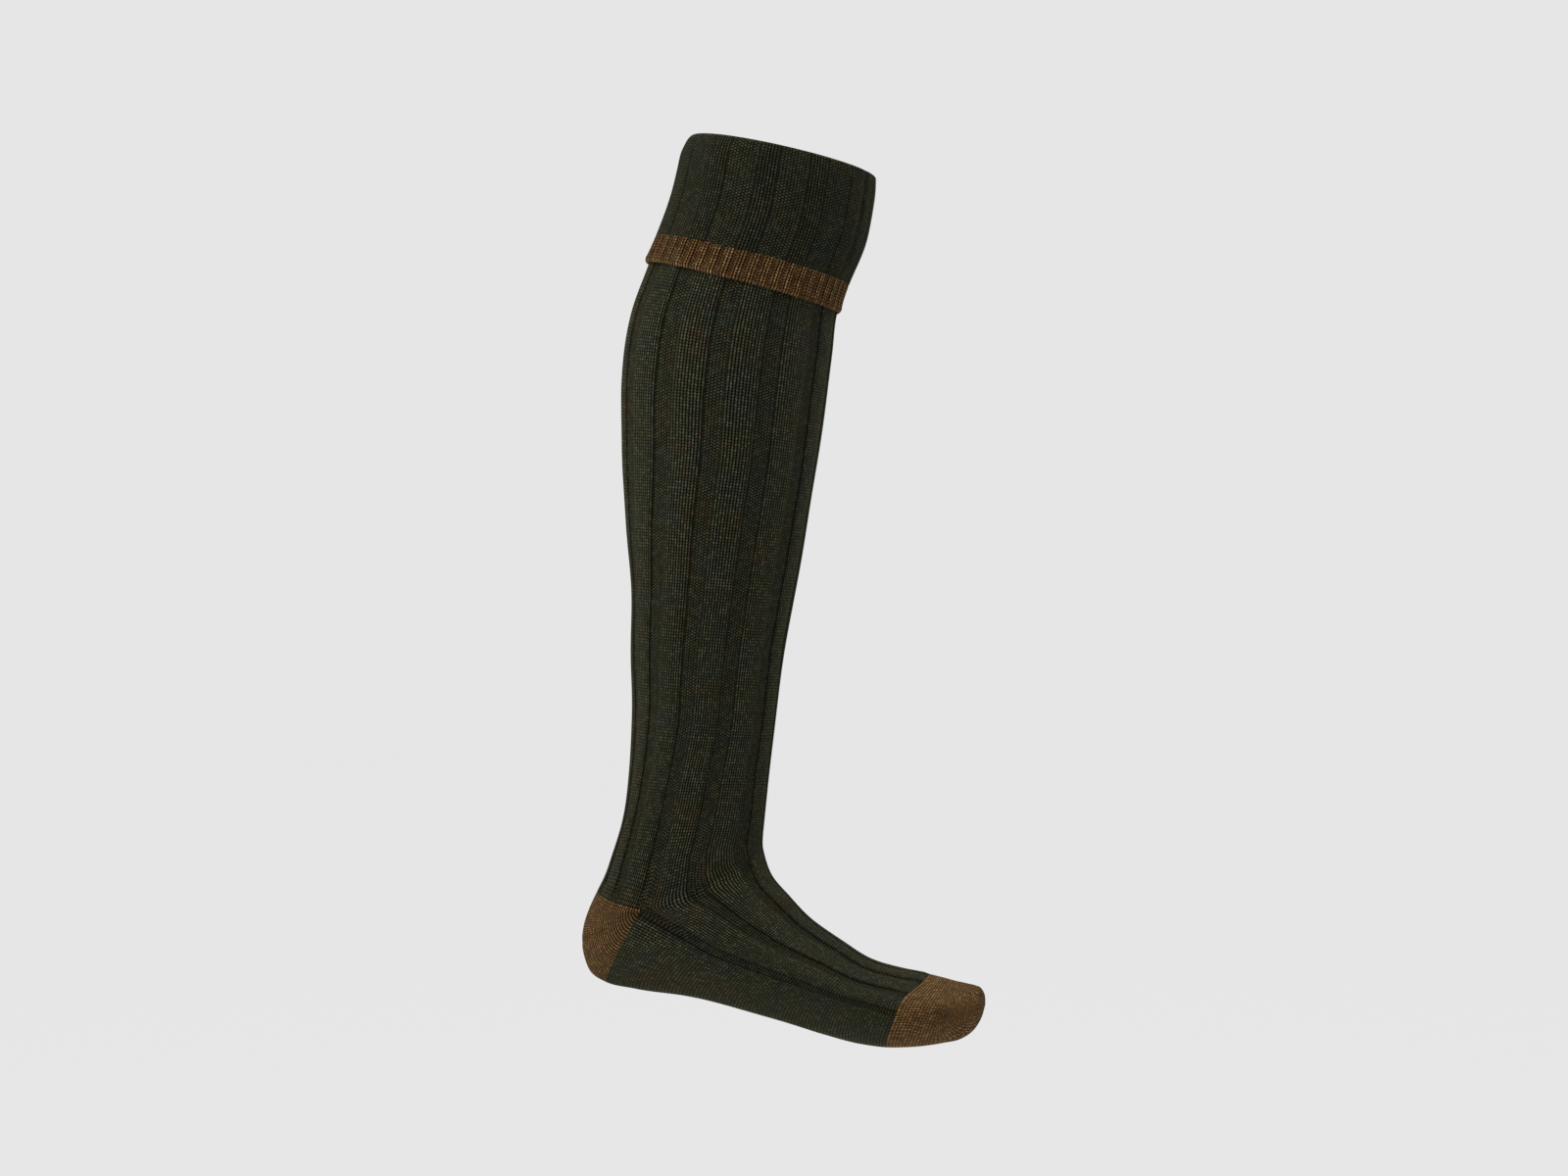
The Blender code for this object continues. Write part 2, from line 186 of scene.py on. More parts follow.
# Thickness and groove depth down the trim, as shares from its top, and its rolled lower rim
ProfileRow = namedtuple("ProfileRow", "down out groove")
TRIM_PROFILE = (
    ProfileRow(0.00, 0.62, 0.6),
    ProfileRow(0.06, 0.74, 0.9),
    ProfileRow(0.50, 0.80, 1.0),
    ProfileRow(0.78, 0.88, 1.0),
    ProfileRow(0.90, 1.00, 0.45),
    ProfileRow(1.00, 0.85, 0.3),
)
RimRow = namedtuple("RimRow", "out fall")
TRIM_RIM = (RimRow(0.62, 0.30), RimRow(0.38, 0.42), RimRow(0.12, 0.34))

# Across the trim: how sharp its ridges are, their wales, and how fast a groove turns to purl
TRIM_RIDGE_SHARPNESS = 0.8
TRIM_WALES = 2
TRIM_WALE_START = 0.5
TRIM_PURL_SLOPE = 2.4
TRIM_PURL_START = 1.0

# How near the leg the rim and the cuff's back lie, in gaps, and its inner lip, in cloths
RIM_GAP_SHARE = 1.5
BACK_GAP_SHARE = 0.8
LIP_SHARE = 0.9

# The fold at the top of the cuff: how high it rises, and how it draws in below, in front and behind
FOLD_RISE = 0.0026
FOLD_RISE_BACK = 0.0022
FOLD_ROUNDNESS = 0.8
FOLD_STEPS = 12
FOLD_COURSES = 4.0
FOLD_EASE_HEIGHT = 0.0115
FOLD_EASE_BACK = 0.0027
FOLD_EASE_FRONT = 0.0010

# Near the fold the cuff's relief is softer, down to this share of it
SOFT_TOP = 0.006
SOFT_RELIEF = 0.35

# The cuff and trim lie flatter in front, from this height above the cuff's lower edge
TUCK_HEIGHT = 0.030
FRONT_SPREAD = 1.5

# Wales from the front to the crease that the cuff has on each side, and its width in wales
CREASE_WALE = 5.2
CREASE_WIDTH = 0.7
# How much of the purl mask the crease takes off, which paints a dark line of shade along it
CREASE_PAINTED_SHADE = 0.5

# How finely the cloth is drawn: columns for each wale or ridge, and rows in metres or in courses
COLUMNS_PER_WALE = 4
PLAIN_COLUMNS = 6
TRIM_COLUMNS = 10
COURSE = 0.00175
HEEL_ROW_COURSES = 0.6
TOE_ROW_COURSES = 0.55
TRIM_ROW_COURSES = 0.45
INSIDE_STEP = 0.014
UNDER_CUFF_STEP = INSIDE_STEP / 2

# Places between an inner wall and the seam, the toe's last ring or the toe's inner end
SEAM_STEP = 0.02
TIP_STEP = 0.06
TOE_END_STEP = 0.5

# How the relief fades: shares of it that are left, and the places or wales that each fade takes
INSIDE_SHARE = 0.6
UNDER_CUFF_SHARE = 0.5
BACK_WALE_SHARE = 0.5
TOE_FADE = 0.6
SHOWN_ROWS = 0.25
HEEL_BLEND_ROWS = 4.0
HEEL_PLAIN_ROWS = 0.5
HEEL_SIDE_SPREAD = 6
HEEL_TIP_SPREAD = 4
TOE_CROWDING = 1.6
CHANNEL_WALL = 0.9

# The channels close in round the ankle, by these wales and from this many leg places above its end
CHANNEL_CLOSING = 0.45
CLOSING_START = 2
CLOSING_ROWS = 3

# Across one knit wale: the groove, its two legs and the dip between them
KNIT_ACROSS = (0.0, 0.25, 0.5, 0.75, 1.0)
KNIT_HEIGHTS = (0.0, 1.0, 0.55, 1.0, 0.0)

# The heel's gore line: its share of the way down the patch, and its width there
GORE_PLACE = 0.5
GORE_WIDTH = 0.03

# Soft swells of the cloth
SWELL_SIZE = 0.045
SWELL_SPREAD = (0.7, 1.6)
SWELL_WAVES = 7
SWELL_SEED = 3

# Steps in which the cloth is measured
SLOPE_STEP = 0.02
MEASURED_ANGLES = 48
MEASURED_PLACES = 400
HEEL_SEAM_ROWS = 4
HEEL_SEAM_PLACES = 161


def smooth(values):
    """A soft step from 0 to 1."""
    values = np.clip(values, 0, 1)
    return values * values * (3 - 2 * values)


def side_view(x, z):
    return np.array((x, 0.0, z))


def section(back, side, front, half_width):
    """A section's marks: its back, side and front in the side view, and its reach sideways."""
    return np.array((back, side, front, (0.0, half_width, 0.0)))


def leg_section(row):
    centre = side_view(row.lean * LEG_LENGTH, -row.drop * LEG_LENGTH)
    tilt = radians(row.tilt)
    across = side_view(cos(tilt), -sin(tilt)) * (row.depth * CALF_DEPTH)
    back = centre - across / 2
    side = back + across * row.side - side_view(0.0, row.dip * LEG_LENGTH)
    return section(back, side, back + across, row.width * CALF_WIDTH / 2)


ANKLE = leg_section(LEG_ROWS[-1])
ANKLE_BACK, ANKLE_SIDE, ANKLE_FRONT, ANKLE_REACH = ANKLE


def foot_place(run, rise):
    return ANKLE_SIDE + side_view(run, rise) * FOOT_LENGTH


def heel_sections():
    """The heel turns about the ankle's side points, like a folding fan."""
    last_back = foot_place(*HEEL_ROWS[-1])
    last_front = ANKLE_SIDE * 2 - last_back
    sections = []
    for number, row in enumerate(HEEL_ROWS, start=1):
        share = number / len(HEEL_ROWS)
        front = ANKLE_FRONT * (1 - share) + last_front * share
        sections.append(section(foot_place(*row), ANKLE_SIDE, front, ANKLE_REACH[1]))
    return sections


def foot_section(row):
    sole = foot_place(row.sole_run, row.sole_rise)
    side = foot_place(row.side_run, row.side_rise)
    top = foot_place(row.top_run, row.top_rise)
    return section(sole, side, top, row.width * BALL_WIDTH / 2)


def cloth_lines():
    """All sections down the front and down the back, where the heel comes in between."""
    leg = [leg_section(row) for row in LEG_ROWS]
    foot = [foot_section(row) for row in FOOT_ROWS + TOE_ROWS]
    tip = foot_place(*TOE_TIP)
    end = section(tip, tip, tip, 0.0)
    before = [2 * leg[0] - leg[1]]
    after = [end, 2 * end - foot[-1]]
    instep = [np.array((foot_place(*aim), *row[1:])) for aim, row in zip(INSTEP_AIMS, foot)]
    front = before + leg + instep + foot[len(instep):] + after
    return np.array(front), np.array(before + leg + heel_sections() + foot + after)


def gaps_along(line, marks):
    """Distances from each section to the next, taken at the marks that count there."""
    return np.linalg.norm(np.diff(line[:, marks], axis=0), axis=-1).mean(-1)


FRONT_LINE, BACK_LINE = cloth_lines()
FRONT_GAPS = gaps_along(FRONT_LINE, (1, 2))
# The back line is measured at the back alone, because the heel's sides stay in one point
BACK_GAPS = gaps_along(BACK_LINE, (0,))
LAST_LEG = len(LEG_ROWS) - 1
LAST_HEEL = len(HEEL_ROWS)
LAST_FOOT = len(FOOT_ROWS)
LAST_TOE = len(TOE_ROWS) + 1

# Where each piece starts on the front line and on the back line
Start = namedtuple("Start", "front back")
STARTS = {
    "leg": Start(0, 0),
    "heel": Start(LAST_LEG, LAST_LEG),
    "foot": Start(LAST_LEG, LAST_LEG + LAST_HEEL),
    "toe": Start(LAST_LEG + LAST_FOOT, LAST_LEG + LAST_HEEL + LAST_FOOT),
}


def curve_through(line, gaps, places):
    """Marks on a smooth curve through a line of sections that lie these gaps apart."""
    number = np.clip(np.floor(places).astype(int), 0, len(line) - 4)
    part = (places - number)[..., None, None]
    before, start, end, after = (line[number + step] for step in range(4))
    gap_before, gap, gap_after = (gaps[number + step][..., None, None] for step in range(3))
    way_in, way = (start - before) / gap_before, (end - start) / gap
    way_out = (after - end) / gap_after
    leave = (way * gap_before + way_in * gap) / (gap_before + gap) * gap
    arrive = (way_out * gap + way * gap_after) / (gap + gap_after) * gap
    square, cube = part ** 2, part ** 3
    return (
        (2 * cube - 3 * square + 1) * start + (cube - 2 * square + part) * leave
        + (3 * square - 2 * cube) * end + (cube - square) * arrive
    )


def surface(piece, places, angles, turned=False):
    """Points of the cloth, or their change with the angle."""
    places, angles = np.broadcast_arrays(np.asarray(places, float), angles)
    c, s = np.cos(angles), np.sin(angles)
    if turned:
        shares = (s / 2 - c * s, 2 * c * s, -c * s - s / 2, c)
    else:
        shares = ((c * c - c) / 2, 1 - c * c, (c * c + c) / 2, s)
    start = STARTS[piece]
    back = curve_through(BACK_LINE, BACK_GAPS, places + start.back)
    front = curve_through(FRONT_LINE, FRONT_GAPS, places + start.front)
    if piece == "heel":
        turning = (places > 0)[..., None]
        for mark, fixed in ((1, ANKLE_SIDE), (3, ANKLE_REACH)):
            back[..., mark, :] = np.where(turning, fixed, back[..., mark, :])
    from_side = smooth(c * SIDE_BLEND)[..., None]
    for mark in (1, 3):
        there = back[..., mark, :]
        front[..., mark, :] = there + (front[..., mark, :] - there) * from_side
    marks = np.where((c < -ROUNDING)[..., None, None], back, front)
    return (marks * np.stack(shares, -1)[..., None]).sum(-2)


def unit(vectors):
    return vectors / np.maximum(np.linalg.norm(vectors, axis=-1, keepdims=True), TINY)


def cloth(piece, places, angles):
    """Points, outward normals and downward directions of the cloth."""
    points = surface(piece, places, angles)
    above = surface(piece, places - SLOPE_STEP, angles)
    down = unit(surface(piece, places + SLOPE_STEP, angles) - above)
    across = surface(piece, places, angles, turned=True)
    return points, unit(np.cross(down, across)), down


def along(places, table):
    """Values at these places from a table of places and values."""
    known, values = zip(*table)
    return np.interp(places, known, values)


def rib_angles(piece, places, wales, total=WALES):
    """Angles of the wales at each place; the ribs lean a little towards the front."""
    around = np.asarray(wales) / total * tau
    tables = (LEG_LEAN, LEG_PULL) if piece == "leg" else (FOOT_LEAN, FOOT_PULL)
    lean, pull = (np.radians(along(places, table))[:, None] for table in tables)
    return around - lean * np.sin(around) - pull * np.sin(2 * around) * (np.cos(around) > 0)


def toe_seam(angles):
    """How far back the toe's seam bends on each side of the foot, in places."""
    aside = np.degrees(np.arccos(np.clip(np.cos(angles), -1, 1)))
    return -TOE_SEAM_BEND * np.exp(-((aside - TOE_SEAM_ANGLE) / TOE_SEAM_SPREAD) ** 2)


def toe_drop(places, angles, settings):
    """The toe lies a little lower than the foot on top, with a soft shoulder at each side."""
    on_top = smooth((np.cos(angles) - TOE_SHOULDER) / TOE_SHOULDER_WIDTH)
    return settings.toe_drop * along(places, TOE_TOP) * on_top


def heel_seam(angles):
    """Leg places where the heel starts: in the side view a straight line from back to tip."""
    wanted = ANKLE_SIDE[2] + (ANKLE_SIDE[2] - ANKLE_BACK[2]) * np.cos(angles)
    fine = np.linspace(LAST_LEG - HEEL_SEAM_ROWS, LAST_LEG, HEEL_SEAM_PLACES)
    heights = surface("leg", fine[:, None], angles[None, :])[..., 2]
    seam = [np.interp(-level, -column, fine) for level, column in zip(wanted, heights.T)]
    return np.where(np.cos(angles) < 0, seam, LAST_LEG)


def leg_place(drop):
    """The place in LEG_ROWS of a drop below the cuff's fold, in metres."""
    drops = [row.drop for row in LEG_ROWS]
    return float(np.interp(drop / LEG_LENGTH, drops, range(len(drops))))


def even_places(piece, first, last, spacing):
    """Places spaced evenly down the cloth, and the length down to each."""
    everywhere = np.linspace(0, tau, MEASURED_ANGLES, endpoint=False)
    angles = np.array([2 * SIDE]) if piece == "heel" else everywhere
    fine = np.linspace(first, last, MEASURED_PLACES)
    points = surface(piece, fine[:, None], angles)
    steps = np.linalg.norm(np.diff(points, axis=0), axis=2).mean(axis=1)
    lengths = np.concatenate([[0.0], np.cumsum(steps)])
    count = max(int(round(lengths[-1] / spacing)), 1)
    wanted = np.linspace(0, lengths[-1], count + 1)
    return np.interp(wanted, lengths, fine), wanted


def whole_courses(lengths, course):
    """Course numbers that come to a whole number at the end, so that the next piece carries on."""
    return lengths / lengths[-1] * round(lengths[-1] / course)


def from_channel(wales):
    """Wales away from the middle of the nearest purl channel."""
    repeat = WALES / RIB_REPEATS
    return np.abs((wales + repeat / 2) % repeat - repeat / 2)


def channel(wales, narrower=0.0):
    """One in a purl channel, nothing on a knit panel; wales are counted from the front."""
    past_wall = from_channel(wales) + narrower - PURL_WALES / 2
    return 1 - smooth((past_wall + CHANNEL_WALL / 2) / CHANNEL_WALL)


def narrowing(line_places):
    """Wales by which each side of a channel closes in round the ankle, counting leg places on."""
    closed = smooth((line_places - LAST_LEG + CLOSING_START) / CLOSING_ROWS)
    return CHANNEL_CLOSING * closed[:, None]


def knit_legs(wales):
    """The two legs of each knit wale, from 0 in the groove beside it to 1 on a leg."""
    return np.interp(wales % 1.0, KNIT_ACROSS, KNIT_HEIGHTS)


def rib_relief(wales, settings, narrower=0.0):
    """Height of the rib: a crowned panel of knit wales beside each purl channel."""
    half_panel = (WALES / RIB_REPEATS - PURL_WALES) / 2
    crown = np.clip((from_channel(wales) - PURL_WALES / 2) / half_panel, 0, 1)
    knit = settings.wale_relief * (knit_legs(wales) - 1) - settings.crown * (1 - crown) ** 2
    purl = channel(wales, narrower)
    return knit * (1 - purl) - settings.rib_relief * purl


def plain_relief(wales, settings):
    """Height of plain knit: the grooves between its wales."""
    return settings.wale_relief * (knit_legs(wales) - 1)


def swell(points, settings):
    """Soft uneven swells over the cloth."""
    draw = np.random.default_rng(SWELL_SEED)
    total = np.zeros(points.shape[:-1])
    for _ in range(SWELL_WAVES):
        way = unit(draw.normal(size=3))
        length = SWELL_SIZE * draw.uniform(*SWELL_SPREAD)
        total += np.sin(points @ way * tau / length + draw.uniform(0, tau))
    return settings.swell * (total / np.sqrt(SWELL_WAVES))


def raised(points, normals, height):
    """Points moved out from the cloth by a height."""
    return points + normals * height[..., None]


def fold_ease(lengths, angles):
    """How far the fold draws in at the top, most of all at the back."""
    near = np.clip(1 - lengths / FOLD_EASE_HEIGHT, 0, 1)[:, None]
    behind = (1 - np.cos(angles)) / 2
    return near ** 2 * (FOLD_EASE_FRONT + (FOLD_EASE_BACK - FOLD_EASE_FRONT) * behind)


def front_tuck(angles, settings):
    """How far the cuff and the trim lie flatter, in front alone."""
    return settings.trim_tuck * smooth(np.cos(angles) * FRONT_SPREAD)


def quad_faces(rows, columns, wrap_rows, wrap_columns):
    """Corner numbers of the quads of a grid, with the row and column of each corner."""
    r, c = np.meshgrid(
        np.arange(rows if wrap_rows else rows - 1),
        np.arange(columns if wrap_columns else columns - 1), indexing="ij")
    corner_rows = np.stack([r, r, r + 1, r + 1], -1).reshape(-1, 4)
    corner_columns = np.stack([c, c + 1, c + 1, c], -1).reshape(-1, 4)
    corners = (corner_rows % rows) * columns + corner_columns % columns
    return corners, corner_rows, corner_columns


def tip_fans(rows, columns, numbers):
    """Triangles from the first and the last ring to a pole each, with their stitch numbers."""
    here = np.arange(columns)
    patches = []
    for pole, row in enumerate((0, rows - 1)):
        tip = np.full(columns, rows * columns + pole)
        fan = np.stack([row * columns + (here + 1) % columns, row * columns + here, tip], -1)
        this, following = numbers[row, here], numbers[row, here + 1]
        stitches = np.stack([following, this, (this + following) / 2], 1)
        if pole:
            fan, stitches = fan[:, [1, 0, 2]], stitches[:, [1, 0, 2]]
        patches.append((fan, stitches))
    return patches


def end_strips(rows, columns, numbers):
    """Faces that join the outer and the inner rings along the first and the last column."""
    near = np.arange(rows // 2 - 1)
    far = rows - 1 - near
    strip = np.stack([near, near + 1, far - 1, far], -1)
    ends = ((0, strip[:, ::-1]), (columns - 1, strip))
    return [(corners * columns + column, numbers[corners, column]) for column, corners in ends]


def new_mesh(name, vertices, patches):
    """A mesh from points and patches of faces, each with its stitch numbers as UVs."""
    loops = np.concatenate([faces.reshape(-1) for faces, _ in patches])
    totals = np.concatenate([np.full(len(faces), faces.shape[1]) for faces, _ in patches])
    stitches = np.concatenate([numbers.reshape(-1, 2) for _, numbers in patches])
    mesh = bpy.data.meshes.new(name)
    mesh.vertices.add(len(vertices))
    mesh.vertices.foreach_set("co", vertices.astype(np.float32).ravel())
    mesh.loops.add(len(loops))
    mesh.loops.foreach_set("vertex_index", loops.astype(np.int32))
    mesh.polygons.add(len(totals))
    mesh.polygons.foreach_set("loop_start", (np.cumsum(totals) - totals).astype(np.int32))
    layer = mesh.uv_layers.new(name="stitches")
    layer.data.foreach_set("uv", stitches.astype(np.float32).ravel())
    return mesh


def face(rings, wales, courses, purl):
    """Rings of one face of the cloth, with their wale and course numbers and purl mask."""
    grids = wales, np.reshape(courses, (len(rings), -1)), purl
    return (rings, *(np.broadcast_to(grid, rings.shape[:2]) for grid in grids))


def knitted_mesh(name, faces, rolled=False, wrap_columns=True, poles=None, folded=False):
    """A closed body from faces of rings, with its wale and course numbers as its UV map.

    The edges between faces are sharp, but not the outermost ones where the cloth is rolled.
    """
    rings, wales, courses, purl = (np.concatenate(grids) for grids in zip(*faces))
    rows, columns = rings.shape[:2]
    vertices, masks = rings.reshape(-1, 3), purl.reshape(-1)
    ends = wales[:, :1] if folded else 2 * wales[:, -1:] - wales[:, -2:-1]
    grids = np.hstack([wales, ends]), np.hstack([courses, courses[:, :1]])
    numbers = np.stack([np.pad(grid, ((0, 1), (0, 0)), mode="edge") for grid in grids], -1)
    quads, corner_rows, corner_columns = quad_faces(rows, columns, poles is None, wrap_columns)
    patches = [(quads, numbers[corner_rows, corner_columns])]
    if poles is not None:
        patches += tip_fans(rows, columns, numbers)
        vertices = np.vstack([vertices, poles])
        masks = np.append(masks, np.zeros(len(poles)))
    if not wrap_columns:
        patches += end_strips(rows, columns, numbers)
    mesh = new_mesh(name, vertices, patches)
    mask = mesh.attributes.new("purl", "FLOAT", "POINT")
    mask.data.foreach_set("value", masks.astype(np.float32))
    mesh.update(calc_edges=True)
    mesh.validate()
    mesh.shade_smooth()
    edges = np.empty(len(mesh.edges) * 2, np.int32)
    mesh.edges.foreach_get("vertices", edges)
    row_of = edges.reshape(-1, 2) // columns
    last_rows = np.cumsum([len(rings) for rings, *_ in faces])[:-1 if rolled else None] - 1
    sharp_rows = np.append(last_rows, (last_rows + 1) % rows)
    sharp = (row_of[:, 0] == row_of[:, 1]) & np.isin(row_of[:, 0], sharp_rows)
    mesh.attributes.new("sharp_edge", "BOOLEAN", "EDGE").data.foreach_set("value", sharp)
    return mesh


def add_piece(name, mesh, node, material):
    """Puts a finished mesh in the scene in place of its frame node."""
    piece = bpy.data.objects.new(name, mesh)
    bpy.context.scene.collection.objects.link(piece)
    mesh.materials.append(material)
    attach(piece, "root")
    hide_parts(node)


def column_wales(total=WALES, per_wale=COLUMNS_PER_WALE):
    """The wale number of each column of points round a piece."""
    return np.arange(total * per_wale) / per_wale


def hidden_rings(piece, first, last, wales, height, total=WALES, spacing=UNDER_CUFF_STEP,
                 drawn_in=0):
    """Coarse rings of a hidden face, from the lower end up, and the length down to each."""
    places, lengths = (values[::-1] for values in even_places(piece, first, last, spacing))
    angles = rib_angles(piece, places, wales, total)
    points, normals, _ = cloth(piece, places[:, None], angles)
    return raised(points, normals, height - drawn_in * fold_ease(lengths, angles)), lengths


def make_leg(settings):
    """The ribbed leg: fine outside below the cuff, and coarse under it and inside."""
    wales = column_wales()
    hidden = leg_place(CUFF_HEIGHT)
    upper, upper_lengths = even_places("leg", 0, hidden, UNDER_CUFF_STEP)
    lower, lengths = even_places("leg", hidden, LAST_LEG, settings.course)
    rows = np.concatenate([upper[:-1], lower])
    angles = rib_angles("leg", rows, wales)
    to_seam = smooth((rows - LAST_LEG) / HEEL_BLEND_ROWS + 1)[:, None]
    places = rows[:, None] - (LAST_LEG - heel_seam(angles[-1])) * to_seam
    points, normals, _ = cloth("leg", places, angles)
    shown = smooth((rows - hidden) / SHOWN_ROWS)[:, None]
    at_heel = smooth((rows - LAST_LEG) / HEEL_PLAIN_ROWS + 1)[:, None]
    at_heel = at_heel * smooth(-np.cos(angles) * HEEL_SIDE_SPREAD)
    closing = narrowing(rows)
    ribs = rib_relief(wales, settings, closing) * (1 - at_heel)
    height = (ribs + plain_relief(wales, settings) * at_heel + swell(points, settings)) * shown
    height = height - settings.rib_relief * UNDER_CUFF_SHARE * (1 - shown)
    from_top = np.concatenate([upper_lengths[:-1], upper_lengths[-1] + lengths])
    outer = raised(points, normals, height - fold_ease(from_top, angles))
    inner, inner_lengths = hidden_rings(
        "leg", 0, LAST_LEG - SEAM_STEP, wales, rib_relief(wales, settings) * INSIDE_SHARE - CLOTH,
        spacing=INSIDE_STEP, drawn_in=1)
    courses = np.concatenate([
        (upper_lengths[:-1] - upper_lengths[-1]) / settings.course,
        whole_courses(lengths, settings.course)])
    return knitted_mesh("ribbed_leg", [
        face(outer, wales, courses, channel(wales, closing)),
        face(inner, wales, inner_lengths / settings.course, 1 - channel(wales))])


def make_foot(settings):
    """The foot: ribs carry on over the instep, and the sole is plain knit."""
    wales = column_wales()
    rows, lengths = even_places("foot", 0, LAST_FOOT, settings.course)
    angles = rib_angles("foot", rows, wales)
    bend = smooth((rows - LAST_FOOT) / TOE_SEAM_ROWS + 1)[:, None]
    points, normals, _ = cloth("foot", rows[:, None] + toe_seam(angles[-1]) * bend, angles)
    around = wales / WALES * tau
    ribbed = np.cos(around) > np.cos(SIDE + tau / RIB_REPEATS / 2)
    closing = narrowing(LAST_LEG + rows)
    plain = plain_relief(wales, settings)
    ribs = np.where(ribbed, rib_relief(wales, settings, closing), plain)
    fade = TOE_FADE * smooth((rows - LAST_FOOT) + 1)[:, None]
    to_seam = (lengths[-1] - lengths)[:, None]
    brim = BRIM_HEIGHT * smooth(1 - np.abs(to_seam - BRIM_REACH) / BRIM_REACH)
    brim = brim - smooth(1 - to_seam / BRIM_FALL)
    relief = ribs * (1 - fade) + plain * fade + brim * toe_drop(0.0, angles, settings)
    outer = raised(points, normals, relief + swell(points, settings))
    inner, inner_lengths = hidden_rings(
        "foot", SEAM_STEP, LAST_FOOT - SEAM_STEP, wales, ribs[-1] * INSIDE_SHARE - CLOTH,
        spacing=INSIDE_STEP)
    courses = whole_courses(lengths, settings.course)
    return knitted_mesh("ribbed_foot", [
        face(outer, wales, courses, channel(wales, closing) * ribbed),
        face(inner, wales, inner_lengths / settings.course, 1 - channel(wales) * ribbed)])


def make_heel(settings):
    """The heel patch, whose courses follow both of its edges and meet on a gore line."""
    wales = np.append(column_wales(settings.heel_wales, PLAIN_COLUMNS), settings.heel_wales)
    tips = (SIDE + HEEL_TIP_ANGLE, 3 * SIDE - HEEL_TIP_ANGLE)
    angles = np.interp(wales, (0, settings.heel_wales), tips)
    top = heel_seam(angles) - LAST_LEG
    even, lengths = even_places("heel", 0, LAST_HEEL, settings.course * HEEL_ROW_COURSES)
    share = even / LAST_HEEL
    points, normals, _ = cloth("heel", top + (LAST_HEEL - top) * share[:, None], angles)
    from_tips = smooth(np.abs(np.cos(angles)) * HEEL_TIP_SPREAD)
    gore = np.exp(-((share - GORE_PLACE) / GORE_WIDTH) ** 2)[:, None] * settings.gore_relief
    relief = (plain_relief(wales, settings) - gore) * from_tips
    outer = raised(points, normals, relief + swell(points, settings))
    inner = raised(points, normals, np.full(points.shape[:2], -CLOTH))[::-1]
    from_edge = np.minimum(lengths, lengths[-1] - lengths) / settings.course
    faces = [face(outer, wales, from_edge, 0.0), face(inner, wales, from_edge[::-1], 1.0)]
    return knitted_mesh("plain_heel", faces, wrap_columns=False)


def toe_fan(wales, lengths, settings):
    """Wales from the toe's side line, how far they fan round its turning point, and wales ahead."""
    to_side = np.abs(wales - settings.toe_wales / 2) - settings.toe_wales / 4
    fan = smooth((FAN_END - np.abs(to_side)) / (FAN_END - FAN_START))
    ahead = np.maximum(lengths - TOE_TURN, 0)[:, None] / TOE_WALE
    return to_side, fan, ahead


def make_toe(settings):
    """The toe cap in plain knit, from its seam to the tip."""
    wales = column_wales(settings.toe_wales, PLAIN_COLUMNS)
    angles = wales / settings.toe_wales * tau
    rows, lengths = even_places(
        "toe", 0, LAST_TOE - TIP_STEP, settings.course * TOE_ROW_COURSES)
    places = rows[:, None] + toe_seam(angles) * smooth(1 - rows / TOE_SEAM_ROWS)[:, None]
    points, normals, _ = cloth("toe", places, angles)
    crowding = smooth((LAST_TOE - rows) / TOE_CROWDING)[:, None]
    to_side, fan, ahead = toe_fan(wales, lengths, settings)
    relief = plain_relief(to_side, settings) * (1 - smooth(ahead / FAN_PLAIN_WALES))
    height = (relief + swell(points, settings)) * crowding - toe_drop(places, angles, settings)
    outer = raised(points, normals, height)
    inner, inner_lengths = hidden_rings(
        "toe", SEAM_STEP, LAST_TOE - TOE_END_STEP, wales,
        -toe_drop(0.0, angles, settings) - CLOTH, settings.toe_wales, INSIDE_STEP)
    tip = foot_place(*TOE_TIP)
    poles = np.array([tip - side_view(CLOTH, 0.0), tip])
    turned = ahead * fan
    arc = np.arctan2(turned, np.abs(to_side)) * FAN_START * TOE_WALE
    straight = lengths[:, None] / settings.course
    about = (TOE_TURN + arc) / settings.course
    courses = straight + (about - straight) * fan * (ahead > 0)
    faces = [
        face(inner, np.abs(to_side), inner_lengths / settings.course, 1.0),
        face(outer, np.hypot(turned, to_side), courses, 0.0)]
    return knitted_mesh("plain_toe", faces, rolled=True, poles=poles, folded=True)


def reverse_relief(wales, settings):
    """The back of the rib: narrow knit cords stand between broad purl panels."""
    cords = settings.cord_relief * (channel(wales) - 1)
    return cords + BACK_WALE_SHARE * plain_relief(wales, settings)


def fold_rings(base, out, up, lift, relief, ease_in, angles, steps):
    """Rings over the fold, from the cuff's face to the leg's inside; it leans inward behind."""
    behind = (1 - np.cos(angles)) / 2
    rings = []
    for part in steps:
        turn = part * tau / 2
        across = (1 - cos(turn)) / 2 * (1 - behind) + part * behind
        rise = FOLD_RISE * sin(turn) ** FOLD_ROUNDNESS * (1 - behind)
        rise = rise + FOLD_RISE_BACK * sin(turn) * behind
        reach = lift - (lift + CLOTH) * across + relief * (1 - part) - ease_in
        rings.append(raised(base, out, reach) + up * rise[:, None])
    return rings


